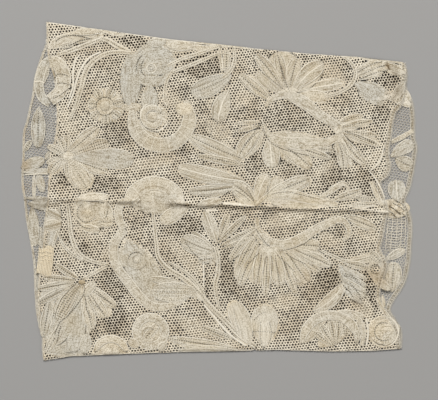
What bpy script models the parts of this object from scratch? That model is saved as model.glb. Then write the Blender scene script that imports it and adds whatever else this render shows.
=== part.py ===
"""Lace cuff: a short tube of bobbin lace, pressed flat and laid on a surface.

Lengths in the tables are millimetres on the flattened cuff, x to the scalloped end, y up the cloth,
both from the middle of the cuff. The origin is on the surface under that middle, +Z up.
"""

import bisect
import math

import bmesh
import bpy
from mathutils import Vector

MM = 0.001
WALL = 1.0
PARTING = 0.3
BACK_TOP = WALL
FRONT_FOOT = BACK_TOP + PARTING
FRONT_TOP = FRONT_FOOT + WALL
MOTIF_RISE = 0.5
FOLD_ROUND = 0.55
EDGING_WIDTH = 1.7
HEADING_WIDTH = 0.9

# The pressed folds and the ends of each layer, from the left or from the top: (x, y)
TOP_FOLD = (
    (-89.5, 87.8), (-72.5, 85.4), (-48.0, 81.9), (-24.0, 78.6), (0.5, 76.1), (19.5, 73.9),
    (46.0, 71.3), (71.5, 69.6), (96.0, 66.8),
)
BOTTOM_FOLD = (
    (-91.0, -87.8), (-83.0, -86.5), (-77.0, -85.5), (-48.0, -84.3), (-24.0, -83.4), (0.5, -82.9),
    (30.5, -82.2), (57.5, -83.0), (79.0, -82.7), (94.0, -81.6),
)
BACK_LEFT = (
    (-89.5, 87.8), (-89.7, 77.5), (-91.6, 72.0), (-93.7, 66.0), (-95.8, 58.5), (-96.9, 50.3),
    (-98.4, 43.5), (-99.9, 36.5), (-101.7, 30.1), (-102.0, 18.2), (-102.5, 4.8), (-101.1, -4.9),
    (-100.1, -14.9), (-98.1, -25.2), (-96.3, -37.9), (-95.7, -51.6), (-94.7, -64.0),
    (-92.0, -75.4), (-91.9, -82.1), (-91.0, -87.8),
)
FRONT_LEFT = (
    (-89.5, 87.8), (-89.2, 77.7), (-88.5, 67.9), (-85.4, 57.5), (-84.1, 41.0), (-84.4, 33.7),
    (-85.4, 26.5), (-88.0, 18.7), (-87.5, 12.0), (-88.5, 4.8), (-89.0, -4.5), (-90.1, -12.3),
    (-91.1, -25.2), (-92.4, -36.6), (-94.0, -48.5), (-94.2, -56.2), (-93.3, -64.5),
    (-91.4, -75.4), (-91.4, -82.1), (-91.0, -87.8),
)
FRONT_RIGHT = (
    (96.0, 66.8), (96.3, 59.1), (95.5, 51.8), (94.5, 45.1), (91.4, 41.0), (89.7, 35.3),
    (88.8, 27.5), (87.6, 20.8), (88.6, 13.0), (87.1, 7.9), (83.4, 4.3), (85.4, -3.7),
    (87.0, -8.7), (86.0, -15.9), (84.4, -24.2), (83.1, -29.9), (85.2, -34.0), (86.8, -37.6),
    (85.2, -43.3), (82.9, -51.6), (83.6, -57.3), (87.0, -62.4), (90.9, -68.1), (93.1, -73.8),
    (93.3, -78.0), (94.0, -81.6),
)
BACK_RIGHT = (
    (96.0, 66.8), (97.3, 60.6), (96.8, 53.9), (98.9, 49.2), (100.4, 45.1), (101.1, 37.9),
    (101.2, 28.6), (102.4, 22.4), (101.5, 15.6), (100.2, 7.9), (98.6, 1.2), (96.3, -5.0),
    (98.9, -11.8), (99.9, -18.0), (99.4, -27.3), (98.9, -35.0), (97.3, -43.8), (94.7, -50.0),
    (90.9, -55.7), (88.5, -61.4), (91.4, -66.6), (94.1, -71.7), (94.5, -76.9), (94.0, -81.6),
)

# The storage crease runs the whole width, a little downhill to the right.
CREASE_LEFT_X, CREASE_LEFT_Y = -101.0, -4.0
CREASE_SLOPE = -0.0384
# How high the crease stands along the cuff: (x, height)
CREASE_CREST = (
    (-104.0, 0.5), (-84.0, 0.9), (-60.0, 1.3), (-24.0, 1.7), (0.0, 1.8), (60.0, 1.4), (104.0, 0.9),
)
# The share of that height at a distance across the crease: (distance, share)
CREASE_SECTION = ((0.0, 1.0), (1.0, 0.72), (3.0, 0.0))
# Soft waves where the upper layer lies loose: (x, y, reach along x, reach along y, height)
LOOSE_WAVES = (
    (84.0, 54.0, 9.0, 12.0, 0.7),
    (84.0, -48.0, 8.0, 14.0, 0.8),
    (72.0, -57.0, 9.0, 10.0, 0.5),
    (-72.0, 60.0, 16.0, 18.0, 0.3),
    (12.0, 34.0, 20.0, 16.0, 0.3),
    (-24.0, -66.0, 22.0, 14.0, 0.3),
)
# Where the solids get points, so that each one bends with the cloth under it
STATIONS_X = tuple(range(-96, 97, 12))
STATIONS_ACROSS = (-64.0, -44.0, -22.0, -3.0, -1.0, 0.0, 1.0, 3.0, 22.0, 44.0, 64.0)

# Bands and stems of clothwork: name, middle line (x, y), half widths at start, middle and end
RIBBONS = (
    ("band_corner", ((-82.5, 71.5), (-76.0, 74.5), (-68.0, 77.5), (-61.5, 79.8)), (1.2, 1.6, 1.2)),
    ("stem_long", ((-50.5, 70.5), (-56.5, 70.5), (-63.5, 67.5), (-68.5, 61.5), (-71.0, 54.5),
                   (-73.5, 45.0), (-76.5, 37.0)), (1.2, 1.7, 1.4)),
    ("spray_stem_top", ((-20.0, 67.0), (-12.0, 70.2), (-1.5, 73.5)), (1.0, 1.3, 1.0)),
    ("cup_band", ((24.5, 43.5), (29.5, 48.0), (36.5, 49.5), (44.0, 45.0), (51.0, 38.5),
                  (56.0, 34.5)), (1.6, 3.2, 2.2)),
    ("stem_top_right", ((66.0, 67.0), (70.3, 62.5), (70.0, 57.0), (66.5, 53.0)), (1.2, 1.6, 1.2)),
    ("arch_band", ((27.0, -5.8), (33.0, -3.2), (41.5, -2.4), (48.5, -4.2)), (1.1, 2.0, 1.5)),
    ("calyx_band", ((20.5, -19.5), (23.0, -23.5), (29.0, -26.5), (36.5, -26.5), (45.0, -22.5),
                    (52.0, -18.0), (58.0, -15.5)), (1.4, 2.6, 2.2)),
    ("calyx_hook", ((61.0, -15.5), (65.0, -17.0), (67.0, -20.5), (66.0, -25.0)), (1.8, 1.8, 1.0)),
    ("stem_diagonal", ((11.5, -78.5), (1.5, -67.5), (-7.5, -56.5), (-15.0, -48.0), (-27.0, -38.5),
                       (-31.5, -27.0), (-33.5, -14.5)), (1.3, 1.4, 1.2)),
    ("stem_vertical", ((0.5, -58.0), (-0.5, -48.0), (1.0, -38.5), (0.5, -29.5)), (1.0, 1.6, 1.3)),
    ("stem_left", ((-78.5, -5.0), (-78.0, -16.0), (-75.5, -28.0), (-70.0, -34.0),
                   (-60.5, -38.0)), (1.2, 1.5, 1.2)),
    ("scroll_low", ((-51.5, -19.0), (-55.5, -26.0), (-56.5, -34.5), (-54.0, -43.0), (-46.5, -51.5),
                    (-39.5, -58.5), (-30.5, -61.5)), (1.8, 2.8, 1.8)),
)

# Leaves and petals of clothwork: name, foot x, y, tip x, y, half width, bow to the left, widest place
LEAVES = (
    ("leaf_grey_top", -46.0, 50.0, -46.8, 69.0, 3.9, 0.8, 0.5),
    ("leaf_veined", 6.0, 60.5, -13.0, 50.5, 4.4, 1.0, 0.6),
    ("leaf_midrib", 6.0, 52.5, 0.5, 37.0, 3.9, -1.0, 0.6),
    ("leaf_rib_low", 73.5, 54.0, 89.5, 48.5, 3.2, -1.0, 0.4),
    ("leaf_long_upper", 11.5, 15.5, -10.5, 26.5, 3.0, 1.6, 0.6),
    ("leaf_long_lower", 9.5, 5.8, -20.0, 12.0, 3.4, -1.0, 0.6),
    ("petal_curl_left", 21.0, 29.5, 10.0, 21.0, 2.9, -1.6, 0.6),
    ("petal_low_mid", 26.0, 21.0, 25.5, 10.5, 3.4, 0.0, 0.6),
    ("petal_low_right", 37.0, 20.0, 47.5, 12.5, 3.2, 1.0, 0.6),
    ("leaf_lobed", -3.0, -36.0, -18.0, -25.5, 3.9, 1.0, 0.65),
    ("leaf_big_low", -15.5, -53.5, -36.0, -51.0, 4.6, -1.0, 0.55),
    ("petal_dome_left", 13.5, -74.0, 6.5, -57.5, 4.8, -1.0, 0.65),
    ("petal_dome_right", 23.0, -80.0, 24.0, -60.0, 6.2, 0.0, 0.6),
    ("leaf_low_long", 3.5, -78.5, -24.0, -77.5, 1.7, 1.0, 0.5),
    ("crest_band", 26.5, 26.5, 58.0, 27.5, 2.7, 0.6, 0.5),
    ("band_under_right", 91.2, 26.5, 97.5, 29.5, 1.2, 0.2, 0.5),
    ("petal_under_high", 91.0, 18.5, 97.8, 22.0, 2.2, 0.3, 0.7),
    ("petal_under_mid", 91.0, 15.5, 98.0, 11.0, 2.2, -0.4, 0.7),
    ("petal_under_low", 91.0, -1.0, 93.5, 7.0, 2.6, 0.0, 0.6),
    ("leaf_under_low", 88.5, -46.5, 92.0, -38.5, 2.4, 0.3, 0.5),
)

# Flowers whose petals fan out of one foot: name, foot x, y, core, petals (bearing, reach, half angle)
FANS = (
    ("flower_upper", 37.5, 55.5, 1.8, (
        (6, 28, 8), (28, 21, 12), (70, 15, 16), (106, 17.5, 16), (138, 24, 12), (160, 25, 9))),
    ("spray_upper_right", 61.5, 32.0, 1.8, (
        (-78, 18, 10), (-50, 21, 11), (-22, 22.5, 10), (8, 17.5, 10), (32, 13, 10))),
    ("flower_centre", 19.5, -4.5, 1.6, (
        (27, 20, 9), (62, 14, 15), (118, 12, 14), (147, 14, 12))),
    ("scroll_centre", 54.0, -2.0, 1.5, ((8, 19, 8), (32, 12, 11), (110, 8, 18))),
    ("flower_lower", 29.0, -31.0, 1.6, (
        (-167, 20, 6), (-153, 18, 7), (-132, 23, 8), (-116, 18, 8), (-100, 22, 8), (-82, 18, 9),
        (-63, 24.5, 9), (-43, 23, 9), (-20, 28, 8), (0, 20, 7))),
    ("spray_right", 63.0, -36.0, 1.5, ((-62, 20.5, 9), (-42, 18.5, 9), (-13, 13, 12), (13, 16.5, 9))),
    ("flower_left", -79.0, 18.0, 1.6, (
        (-112, 8, 16), (-52, 18, 14), (-20, 21, 12), (-3, 31, 7), (14, 21.5, 9), (82, 9, 18))),
    ("flower_low_left", -72.5, -47.0, 1.5, (
        (-168, 19, 8), (-147, 23, 8), (-118, 27, 14), (-90, 31, 8), (-73, 24, 7), (-54, 21.5, 7),
        (-37, 21, 7), (22, 13, 8))),
)

# Scrolls and rings of clothwork: name, x, y, outer radius, inner radius, start bearing, sweep
SCROLLS = (
    ("scroll_left_top", -84.5, 57.0, 9.5, 5.0, -60.0, 130.0),
    ("rosette_top", -34.0, 64.5, 9.0, 4.5, 0.0, 360.0),
    ("scroll_large", -30.0, 37.0, 16.8, 10.2, 160.0, 245.0),
    ("scroll_middle", -34.5, -11.0, 17.2, 10.4, 14.0, 150.0),
    ("ring_bottom", -37.5, -72.0, 9.2, 5.6, 0.0, 360.0),
    ("scroll_corner", 59.5, -78.6, 16.4, 12.6, 4.0, 172.0),
    ("ring_corner", 83.5, -71.5, 6.6, 3.4, 0.0, 360.0),
)

# Solid rosettes and patches: name, x, y, half width, half height
ROSETTES = (
    ("rosette_fine", -60.0, 45.0, 8.2, 8.0),
    ("eye_large", -36.2, 36.0, 3.1, 4.4),
    ("rose_left", -66.0, -12.0, 9.2, 7.6),
    ("rosette_low", -43.5, -36.0, 6.0, 6.6),
    ("dome_bottom", -58.0, -78.5, 8.4, 4.4),
    ("eye_corner", 64.5, -71.8, 2.7, 3.2),
    ("edge_mend", -87.4, -36.0, 3.6, 7.6),
)

UNDER_LAYER = (
    "band_under_right", "petal_under_high", "petal_under_mid", "petal_under_low", "leaf_under_low",
)
RIBBON_STEPS, LEAF_STEPS, SCROLL_STEP_DEG, ROSETTE_POINTS = 3, 5, 15.0, 20

LINEN = (0.74, 0.68, 0.56)
LINEN_SINGLE = (0.58, 0.56, 0.50)
CLOTHWORK = (0.80, 0.75, 0.64)
EDGE_THREAD = (0.84, 0.80, 0.71)
MEND_THREAD = (0.86, 0.78, 0.60)


def read_table(rows, at):
    """The second column of a two column table at a place in the first, with straight runs between."""
    places = [row[0] for row in rows]
    spot = min(max(bisect.bisect_right(places, at), 1), len(rows) - 1)
    (x0, v0), (x1, v1) = rows[spot - 1], rows[spot]
    return v0 + (v1 - v0) * min(max((at - x0) / (x1 - x0), 0.0), 1.0)


def crease_height(x):
    return CREASE_LEFT_Y + CREASE_SLOPE * (x - CREASE_LEFT_X)


def form_at_station(x, across):
    """How far the upper layer stands off the lower one at a crossing of two stations."""
    crest = read_table(CREASE_CREST, x) * read_table(CREASE_SECTION, abs(across))
    y = crease_height(x) + across
    waves = sum(
        height * math.exp(-(((x - wx) / rx) ** 2) - ((y - wy) / ry) ** 2)
        for wx, wy, rx, ry, height in LOOSE_WAVES
    )
    return crest + (waves if abs(across) > 3.5 else 0.0)


def form(x, y):
    """The upper layer's form anywhere, straight between the stations, so that all that lies on it fits."""
    across = y - crease_height(x)
    columns = (STATIONS_X[0] - 24,) + STATIONS_X + (STATIONS_X[-1] + 24,)
    rows = (-120.0,) + STATIONS_ACROSS + (120.0,)
    i = min(max(bisect.bisect_right(columns, x) - 1, 0), len(columns) - 2)
    j = min(max(bisect.bisect_right(rows, across) - 1, 0), len(rows) - 2)
    s = (x - columns[i]) / (columns[i + 1] - columns[i])
    t = (across - rows[j]) / (rows[j + 1] - rows[j])
    low, high = (
        (1 - s) * form_at_station(columns[i], row) + s * form_at_station(columns[i + 1], row)
        for row in (rows[j], rows[j + 1])
    )
    return (1 - t) * low + t * high


def curve_value(t, before, start, end, after):
    """One coordinate at a share t of a run, on a smooth curve that also passes its two neighbours."""
    slope = end - before
    bend = 2 * before - 5 * start + 4 * end - after
    twist = 3 * start - before - 3 * end + after
    return 0.5 * (2 * start + slope * t + bend * t**2 + twist * t**3)


def smooth_line(points, steps):
    """A curve through points, with some steps on each run between two of them."""
    line = []
    for i in range(len(points) - 1):
        before, start, end = points[max(i - 1, 0)], points[i], points[i + 1]
        after = points[min(i + 2, len(points) - 1)]
        for k in range(steps):
            line.append(tuple(curve_value(k / steps, *values) for values in zip(before, start, end, after)))
    return line + [tuple(points[-1])]


def shifted_line(line, distance):
    """A line moved sideways, to the left of its direction."""
    moved = []
    for i, (x, y) in enumerate(line):
        x0, y0 = line[max(i - 1, 0)]
        x1, y1 = line[min(i + 1, len(line) - 1)]
        run = math.hypot(x1 - x0, y1 - y0)
        moved.append((x - (y1 - y0) / run * distance, y + (x1 - x0) / run * distance))
    return moved


def ribbon_outline(middle, half_widths):
    line = smooth_line(middle, RIBBON_STEPS)
    start, centre, end = half_widths
    sides = ([], [])
    for i, point in enumerate(line):
        t = 2 * i / (len(line) - 1)
        width = start + (centre - start) * t if t < 1 else centre + (end - centre) * (t - 1)
        for side, reach in zip(sides, (width, -width)):
            side.append(shifted_line(line, reach)[i])
    return sides[0] + sides[1][::-1]


def leaf_outline(foot_x, foot_y, tip_x, tip_y, half_width, bow, widest):
    """A leaf or petal: narrow at its foot, widest at a share of its length, with a blunt tip."""
    length = math.hypot(tip_x - foot_x, tip_y - foot_y)
    along = ((tip_x - foot_x) / length, (tip_y - foot_y) / length)
    power = math.log(0.5) / math.log(widest)
    sides = ([], [])
    for i in range(LEAF_STEPS + 2):
        t = (0.04, 0.22, 0.42, 0.60, 0.78, 0.92, 0.99)[i]
        width = half_width * math.sin(math.pi * t**power) ** 0.75
        middle = bow * math.sin(math.pi * t)
        for side, reach in zip(sides, (middle + width, middle - width)):
            side.append((
                foot_x + along[0] * length * t - along[1] * reach,
                foot_y + along[1] * length * t + along[0] * reach,
            ))
    return sides[0] + sides[1][::-1]


def fan_outline(foot_x, foot_y, core, petals):
    """Petals around one foot, read by bearing, with the core where no petal stands."""
    around = []
    for number, (bearing, reach, half) in enumerate(petals):
        for share, fall in ((-1.0, 0.62), (-0.55, 0.90), (0.0, 1.0), (0.55, 0.90), (1.0, 0.62)):
            around.append((bearing + share * half, reach * fall))
        end = bearing + half
        following = petals[(number + 1) % len(petals)]
        start = following[0] - following[2] + (360 if number == len(petals) - 1 else 0)
        if start - end > 5:
            steps = max(1, round((start - end) / 45))
            around += [(end + 2 + (start - end - 4) * k / steps, core) for k in range(steps + 1)]
    return [
        (foot_x + reach * math.cos(math.radians(bearing)), foot_y + reach * math.sin(math.radians(bearing)))
        for bearing, reach in around
    ]


def arc(x, y, radius_x, radius_y, start, sweep, count):
    return [
        (x + radius_x * math.cos(math.radians(start + sweep * k / count)),
         y + radius_y * math.sin(math.radians(start + sweep * k / count)))
        for k in range(count + 1)
    ]


def add_loop(sheet, points):
    corners = [sheet.verts.new((x, y, 0.0)) for x, y in points]
    return [sheet.edges.new(pair) for pair in zip(corners, corners[1:] + corners[:1])], corners


def sheet_of_outline(points):
    sheet = bmesh.new()
    _, corners = add_loop(sheet, points)
    sheet.faces.new(corners)
    return sheet


def sheet_of_ring(x, y, outer, inner):
    sheet = bmesh.new()
    count = ROSETTE_POINTS
    rims = []
    for radius in (outer, inner):
        rims += add_loop(sheet, arc(x, y, radius, radius, 0.0, 360.0, count)[:-1])[0]
    bmesh.ops.bridge_loops(sheet, edges=rims)
    return sheet


def keep_side(sheet, point, outward):
    """Cuts a flat sheet along a line and drops what lies beyond it."""
    every = sheet.verts[:] + sheet.edges[:] + sheet.faces[:]
    bmesh.ops.bisect_plane(
        sheet, geom=every, plane_co=(*point, 0.0), plane_no=(*outward, 0.0), clear_outer=True
    )


def put_points_at_stations(sheet):
    lines = [((x, 0.0), (1.0, 0.0)) for x in STATIONS_X]
    lines += [((0.0, crease_height(0.0) + across), (-CREASE_SLOPE, 1.0)) for across in STATIONS_ACROSS]
    for point, across in lines:
        every = sheet.verts[:] + sheet.edges[:] + sheet.faces[:]
        bmesh.ops.bisect_plane(sheet, geom=every, plane_co=(*point, 0.0), plane_no=(*across, 0.0))
    bmesh.ops.remove_doubles(sheet, verts=sheet.verts[:], dist=0.05)
    bmesh.ops.triangulate(sheet, faces=sheet.faces[:])


def near_fold(corner):
    return any(abs(corner.co.y - read_table(fold, corner.co.x)) < 0.3 for fold in (TOP_FOLD, BOTTOM_FOLD))


def round_folds(solid, level):
    """Rounds the outer edge of a layer where the cloth turns over at the two pressed folds."""
    edges = [
        edge for edge in solid.edges
        if all(near_fold(end) and abs(end.co.z - level(end.co.x, end.co.y)) < 0.01 for end in edge.verts)
        and edge.calc_face_angle(0.0) > 1.0
    ]
    bmesh.ops.bevel(
        solid, geom=edges, offset=FOLD_ROUND, offset_type="OFFSET", segments=2, profile=0.5,
        affect="EDGES", clamp_overlap=True, material=-1,
    )


def solid_on(sheet, foot, thickness, rounded=None):
    """A wall of one thickness standing on foot(x, y), made from a flat sheet."""
    put_points_at_stations(sheet)
    for corner in sheet.verts:
        corner.co.z = foot(corner.co.x, corner.co.y)
    raised = bmesh.ops.extrude_face_region(sheet, geom=sheet.faces[:])["geom"]
    for corner in (item for item in raised if isinstance(item, bmesh.types.BMVert)):
        corner.co.z += thickness
    bmesh.ops.recalc_face_normals(sheet, faces=sheet.faces[:])
    if rounded:
        round_folds(sheet, rounded)
        bmesh.ops.triangulate(sheet, faces=sheet.faces[:])
    return sheet


def cloth_material(name, colour, roughness):
    material = bpy.data.materials.new(name)
    material.use_nodes = True
    surface = material.node_tree.nodes["Principled BSDF"]
    surface.inputs["Base Color"].default_value = (*colour, 1.0)
    surface.inputs["Roughness"].default_value = roughness
    surface.inputs["Metallic"].default_value = 0.0
    return material


def name_piece(name, solid, colour, roughness=0.9):
    """Scales a finished solid from millimetres and puts it in the scene under its own name."""
    bmesh.ops.scale(solid, vec=Vector((MM, MM, MM)), verts=solid.verts[:])
    mesh = bpy.data.meshes.new(name)
    solid.to_mesh(mesh)
    solid.free()
    mesh.materials.append(cloth_material(name, colour, roughness))
    piece = bpy.data.objects.new(name, mesh)
    bpy.context.collection.objects.link(piece)


def flat(height):
    return lambda x, y: height


def raised(height):
    return lambda x, y: height + form(x, y)


def layer_outline(left, right):
    """One layer's cloth, inside the strips sewn to its two ends."""
    left_line = shifted_line(smooth_line(left, 1), HEADING_WIDTH + PARTING)
    right_line = shifted_line(smooth_line(right, 2), -(EDGING_WIDTH + PARTING))
    top = [point for point in TOP_FOLD if left_line[0][0] + 2 < point[0] < right_line[0][0] - 2]
    bottom = [point for point in BOTTOM_FOLD if left_line[-1][0] + 2 < point[0] < right_line[-1][0] - 2]
    return top + right_line + bottom[::-1] + left_line[::-1]


def strip_outline(line, near, far):
    return shifted_line(line, near) + shifted_line(line, far)[::-1]


def build_layers():
    front = sheet_of_outline(layer_outline(FRONT_LEFT, FRONT_RIGHT))
    name_piece("front_panel", solid_on(front, raised(FRONT_FOOT), WALL, raised(FRONT_TOP)), LINEN)
    back = sheet_of_outline(layer_outline(BACK_LEFT, BACK_RIGHT))
    name_piece("back_panel", solid_on(back, flat(0.0), WALL, flat(0.0)), LINEN_SINGLE)


def build_end_strips():
    """The scalloped edging and the straight heading, each a strip beside its layer's cloth."""
    for layer, left, right, foot in (
        ("front", FRONT_LEFT, FRONT_RIGHT, raised(FRONT_FOOT)),
        ("back", BACK_LEFT, BACK_RIGHT, flat(0.0)),
    ):
        edging = sheet_of_outline(strip_outline(smooth_line(right, 2), 0.0, -EDGING_WIDTH))
        name_piece(layer + "_edging", solid_on(edging, foot, WALL), EDGE_THREAD)
        heading = sheet_of_outline(strip_outline(smooth_line(left, 1), 0.0, HEADING_WIDTH))
        name_piece(layer + "_heading", solid_on(heading, foot, WALL), EDGE_THREAD)


def trim_at_folds(sheet):
    """Drops what would run past a pressed fold, just inside the rounded edge."""
    middle = sum(corner.co.x for corner in sheet.verts) / len(sheet.verts)
    for fold, outward in ((TOP_FOLD, 1.0), (BOTTOM_FOLD, -1.0)):
        reach = 10.0
        slope = (read_table(fold, middle + reach) - read_table(fold, middle - reach)) / (2 * reach)
        point = (middle, read_table(fold, middle) - outward * (FOLD_ROUND + PARTING))
        keep_side(sheet, point, (-slope * outward, outward))


def build_motif(name, sheet):
    trim_at_folds(sheet)
    foot = flat(BACK_TOP + PARTING) if name in UNDER_LAYER else raised(FRONT_TOP + PARTING)
    colour = MEND_THREAD if name == "edge_mend" else CLOTHWORK
    name_piece(name, solid_on(sheet, foot, MOTIF_RISE), colour)


def build_clothwork():
    for name, middle, half_widths in RIBBONS:
        build_motif(name, sheet_of_outline(ribbon_outline(middle, half_widths)))
    for name, *sizes in LEAVES:
        build_motif(name, sheet_of_outline(leaf_outline(*sizes)))
    for name, *sizes in FANS:
        build_motif(name, sheet_of_outline(fan_outline(*sizes)))
    for name, x, y, outer, inner, start, sweep in SCROLLS:
        if sweep == 360.0:
            build_motif(name, sheet_of_ring(x, y, outer, inner))
            continue
        count = round(sweep / SCROLL_STEP_DEG)
        outside = arc(x, y, outer, outer, start, sweep, count)
        inside = arc(x, y, inner, inner, start, sweep, count)
        build_motif(name, sheet_of_outline(outside + inside[::-1]))
    for name, x, y, half_width, half_height in ROSETTES:
        rim = arc(x, y, half_width, half_height, 0.0, 360.0, ROSETTE_POINTS)
        build_motif(name, sheet_of_outline(rim[:-1]))


for leftover in list(bpy.data.objects):
    bpy.data.objects.remove(leftover, do_unlink=True)
build_layers()
build_end_strips()
build_clothwork()
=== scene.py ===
import bisect
import itertools
import math
from operator import itemgetter

import bmesh
import bpy
from mathutils import Matrix, Vector, noise
from mathutils.bvhtree import BVHTree


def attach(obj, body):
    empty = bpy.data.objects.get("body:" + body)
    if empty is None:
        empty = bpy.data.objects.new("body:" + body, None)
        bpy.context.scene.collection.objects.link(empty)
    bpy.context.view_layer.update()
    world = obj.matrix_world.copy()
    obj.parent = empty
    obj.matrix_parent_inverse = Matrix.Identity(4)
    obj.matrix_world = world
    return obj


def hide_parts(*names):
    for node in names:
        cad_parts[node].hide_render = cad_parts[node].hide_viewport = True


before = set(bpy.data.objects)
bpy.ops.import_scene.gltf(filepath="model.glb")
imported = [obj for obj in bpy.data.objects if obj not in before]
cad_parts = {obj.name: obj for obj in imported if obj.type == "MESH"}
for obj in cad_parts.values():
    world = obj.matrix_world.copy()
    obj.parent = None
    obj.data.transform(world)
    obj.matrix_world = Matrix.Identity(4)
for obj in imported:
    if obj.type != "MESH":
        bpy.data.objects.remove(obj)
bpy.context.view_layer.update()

# The table, lamps and camera
# The cuff lies on a pale board. A soft lamp rakes across it from the top of the cloth, so that the
# pressed crease and the raised rims catch the light, and the camera looks straight down on it.
MM = 0.001
PHOTO_WIDTH = 226.4 * MM
LENS, SENSOR, NEAREST = 85.0, 36.0, 0.01
VIEW_CENTRE = (-0.1 * MM, -4.5 * MM)
CLOTH_HEIGHT = 2.0 * MM

camera_data = bpy.data.cameras.new("copy_camera")
camera_data.lens = LENS
camera_data.sensor_width = SENSOR
camera_data.sensor_fit = "HORIZONTAL"
camera_data.clip_start = NEAREST
camera = bpy.data.objects.new("copy_camera", camera_data)
camera.location = (*VIEW_CENTRE, CLOTH_HEIGHT + PHOTO_WIDTH * LENS / SENSOR)
bpy.context.scene.collection.objects.link(camera)
bpy.context.scene.camera = camera

BOARD_SIZE, BOARD_COLOUR, BOARD_ROUGHNESS = 6.0, (0.27, 0.263, 0.252, 1.0), 0.85
board_mesh = bmesh.new()
bmesh.ops.create_grid(board_mesh, x_segments=1, y_segments=1, size=BOARD_SIZE / 2)
board_data = bpy.data.meshes.new("board")
board_mesh.to_mesh(board_data)
board_mesh.free()
board = bpy.data.objects.new("board", board_data)
board_paint = bpy.data.materials.new("board_paint")
board_paint.use_nodes = True
board_shader = board_paint.node_tree.nodes["Principled BSDF"]
board_shader.inputs["Base Color"].default_value = BOARD_COLOUR
board_shader.inputs["Roughness"].default_value = BOARD_ROUGHNESS
board_data.materials.append(board_paint)
bpy.context.scene.collection.objects.link(board)

# Each lamp's place in metres, width and power. Both are turned to the middle of the cuff.
LAMPS = (
    ("raking_lamp", (-0.23, 0.92, 1.57), 0.85, 40.2),
    ("fill_lamp", (0.45, -0.60, 0.95), 0.90, 3.6),
)
for lamp_name, lamp_place, lamp_size, lamp_power in LAMPS:
    lamp_data = bpy.data.lights.new(lamp_name, "AREA")
    lamp_data.size = lamp_size
    lamp_data.energy = lamp_power
    lamp = bpy.data.objects.new(lamp_name, lamp_data)
    lamp.location = lamp_place
    lamp.rotation_euler = (-Vector(lamp_place)).to_track_quat("-Z", "Y").to_euler()
    bpy.context.scene.collection.objects.link(lamp)

ROOM_LIGHT, ROOM_STRENGTH = (0.97, 0.98, 1.0, 1.0), 0.16
room = bpy.data.worlds.new("room")
room.use_nodes = True
room.node_tree.nodes["Background"].inputs["Color"].default_value = ROOM_LIGHT
room.node_tree.nodes["Background"].inputs["Strength"].default_value = ROOM_STRENGTH
bpy.context.scene.world = room
bpy.context.scene.view_settings.view_transform = "Standard"

# The clothwork stems and bands of the upper layer
# Narrow linen tapes worked on the pillow: a solid tape between two rim cords, a stem of two cords
# with a row of pinholes between them, or one cord. Everything here lies on the pressed cloth.
# From here on, lengths are millimetres on the flattened cuff, x to the scallops and y up the cloth.
TOP_FOLD = (
    (-89.5, 87.8), (-72.5, 85.4), (-48, 81.9), (-24, 78.6), (0.5, 76.1), (19.5, 73.9), (46, 71.3),
    (71.5, 69.6), (96, 66.8),
)
BOTTOM_FOLD = (
    (-91, -87.8), (-83, -86.5), (-77, -85.5), (-48, -84.3), (-24, -83.4), (0.5, -82.9), (30.5, -82.2),
    (57.5, -83), (79, -82.7), (94, -81.6),
)
# How high each layer's cloth lies, and how high both meet in the fold
LAYER_HEIGHT = {"back": 0.5, "front": 1.75}
FOLD_HEIGHT, FOLD_REACH = 1.1, 2.2
# The storage crease: its line, how it wanders (by how much, wave length, start), the height of its
# crest along x, its section from below to above, and how much of it the lower layer follows
CREASE_LEFT_X, CREASE_LEFT_Y, CREASE_SLOPE = -101.0, -3.4, -0.0384
CREASE_WANDER = ((0.35, 9.0, 0.0), (0.25, 3.7, 1.0))
CREASE_CREST = ((-104, 0.5), (-84, 1), (-60, 1.5), (-24, 2.1), (0, 2.3), (60, 1.8), (104, 1))
CREASE_SECTION = ((-3, 0), (-1.6, 0.1), (-0.8, 0.45), (0, 1), (0.7, 0.8), (1.8, 0.34), (4, 0))
BACK_CREASE = 0.25
# Soft waves where the upper layer lies loose: x, y, reach along x and y, height
SOFT_WAVES = (
    (84, 54, 9, 12, 0.7), (84, -48, 8, 14, 0.8), (72, -57, 9, 10, 0.5), (-72, 60, 16, 18, 0.3),
    (12, 34, 20, 16, 0.3), (-24, -66, 22, 14, 0.3), (81, 57, 2.4, 6, 0.6), (85, 54, 1.8, 6, -0.5),
    (89, 52, 2.4, 6, 0.7), (82, -38, 2, 5, 0.8), (80, -50, 2.5, 4, 0.6), (84.5, -45, 1.6, 6, -0.4),
    (68, -55.5, 4, 1.8, 0.7), (71, -58.5, 4, 1.6, -0.4),
)
# Small puckers all over it: height, how many to a millimetre, and where the noise is read
PUCKERS = ((0.22, 0.09, 2.0), (0.12, 0.3, 5.0))
LOOSENESS = 0.1
# What reaches past a fold is turned in by this share, and is half as thick there.
FOLD_TUCK, FOLD_THINNING = 0.02, 0.5


def read_table(rows, at):
    """The second column of a two column table at a place in the first, eased between its rows."""
    spot = min(max(bisect.bisect_right(rows, at, key=itemgetter(0)), 1), len(rows) - 1)
    (x0, v0), (x1, v1) = rows[spot - 1], rows[spot]
    share = min(max((at - x0) / (x1 - x0), 0.0), 1.0)
    return v0 + (v1 - v0) * share


def crest_line(x):
    """Where the crease's crest runs: a little downhill to the right, and never quite straight."""
    wander = sum(reach * math.sin(x / length + start) for reach, length, start in CREASE_WANDER)
    return CREASE_LEFT_Y + CREASE_SLOPE * (x - CREASE_LEFT_X) + wander


def lift(x, y, layer):
    """How far the cloth stands off its flat level."""
    crest = read_table(CREASE_CREST, x) * read_table(CREASE_SECTION, y - crest_line(x))
    if layer == "back":
        return BACK_CREASE * crest
    waves = sum(
        height * math.exp(-(((x - wave_x) / reach_x) ** 2) - ((y - wave_y) / reach_y) ** 2)
        for wave_x, wave_y, reach_x, reach_y, height in SOFT_WAVES
    )
    puckers = sum(height * noise.noise((x * often, y * often, seed)) for height, often, seed in PUCKERS)
    return crest + waves + puckers + LOOSENESS


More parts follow.
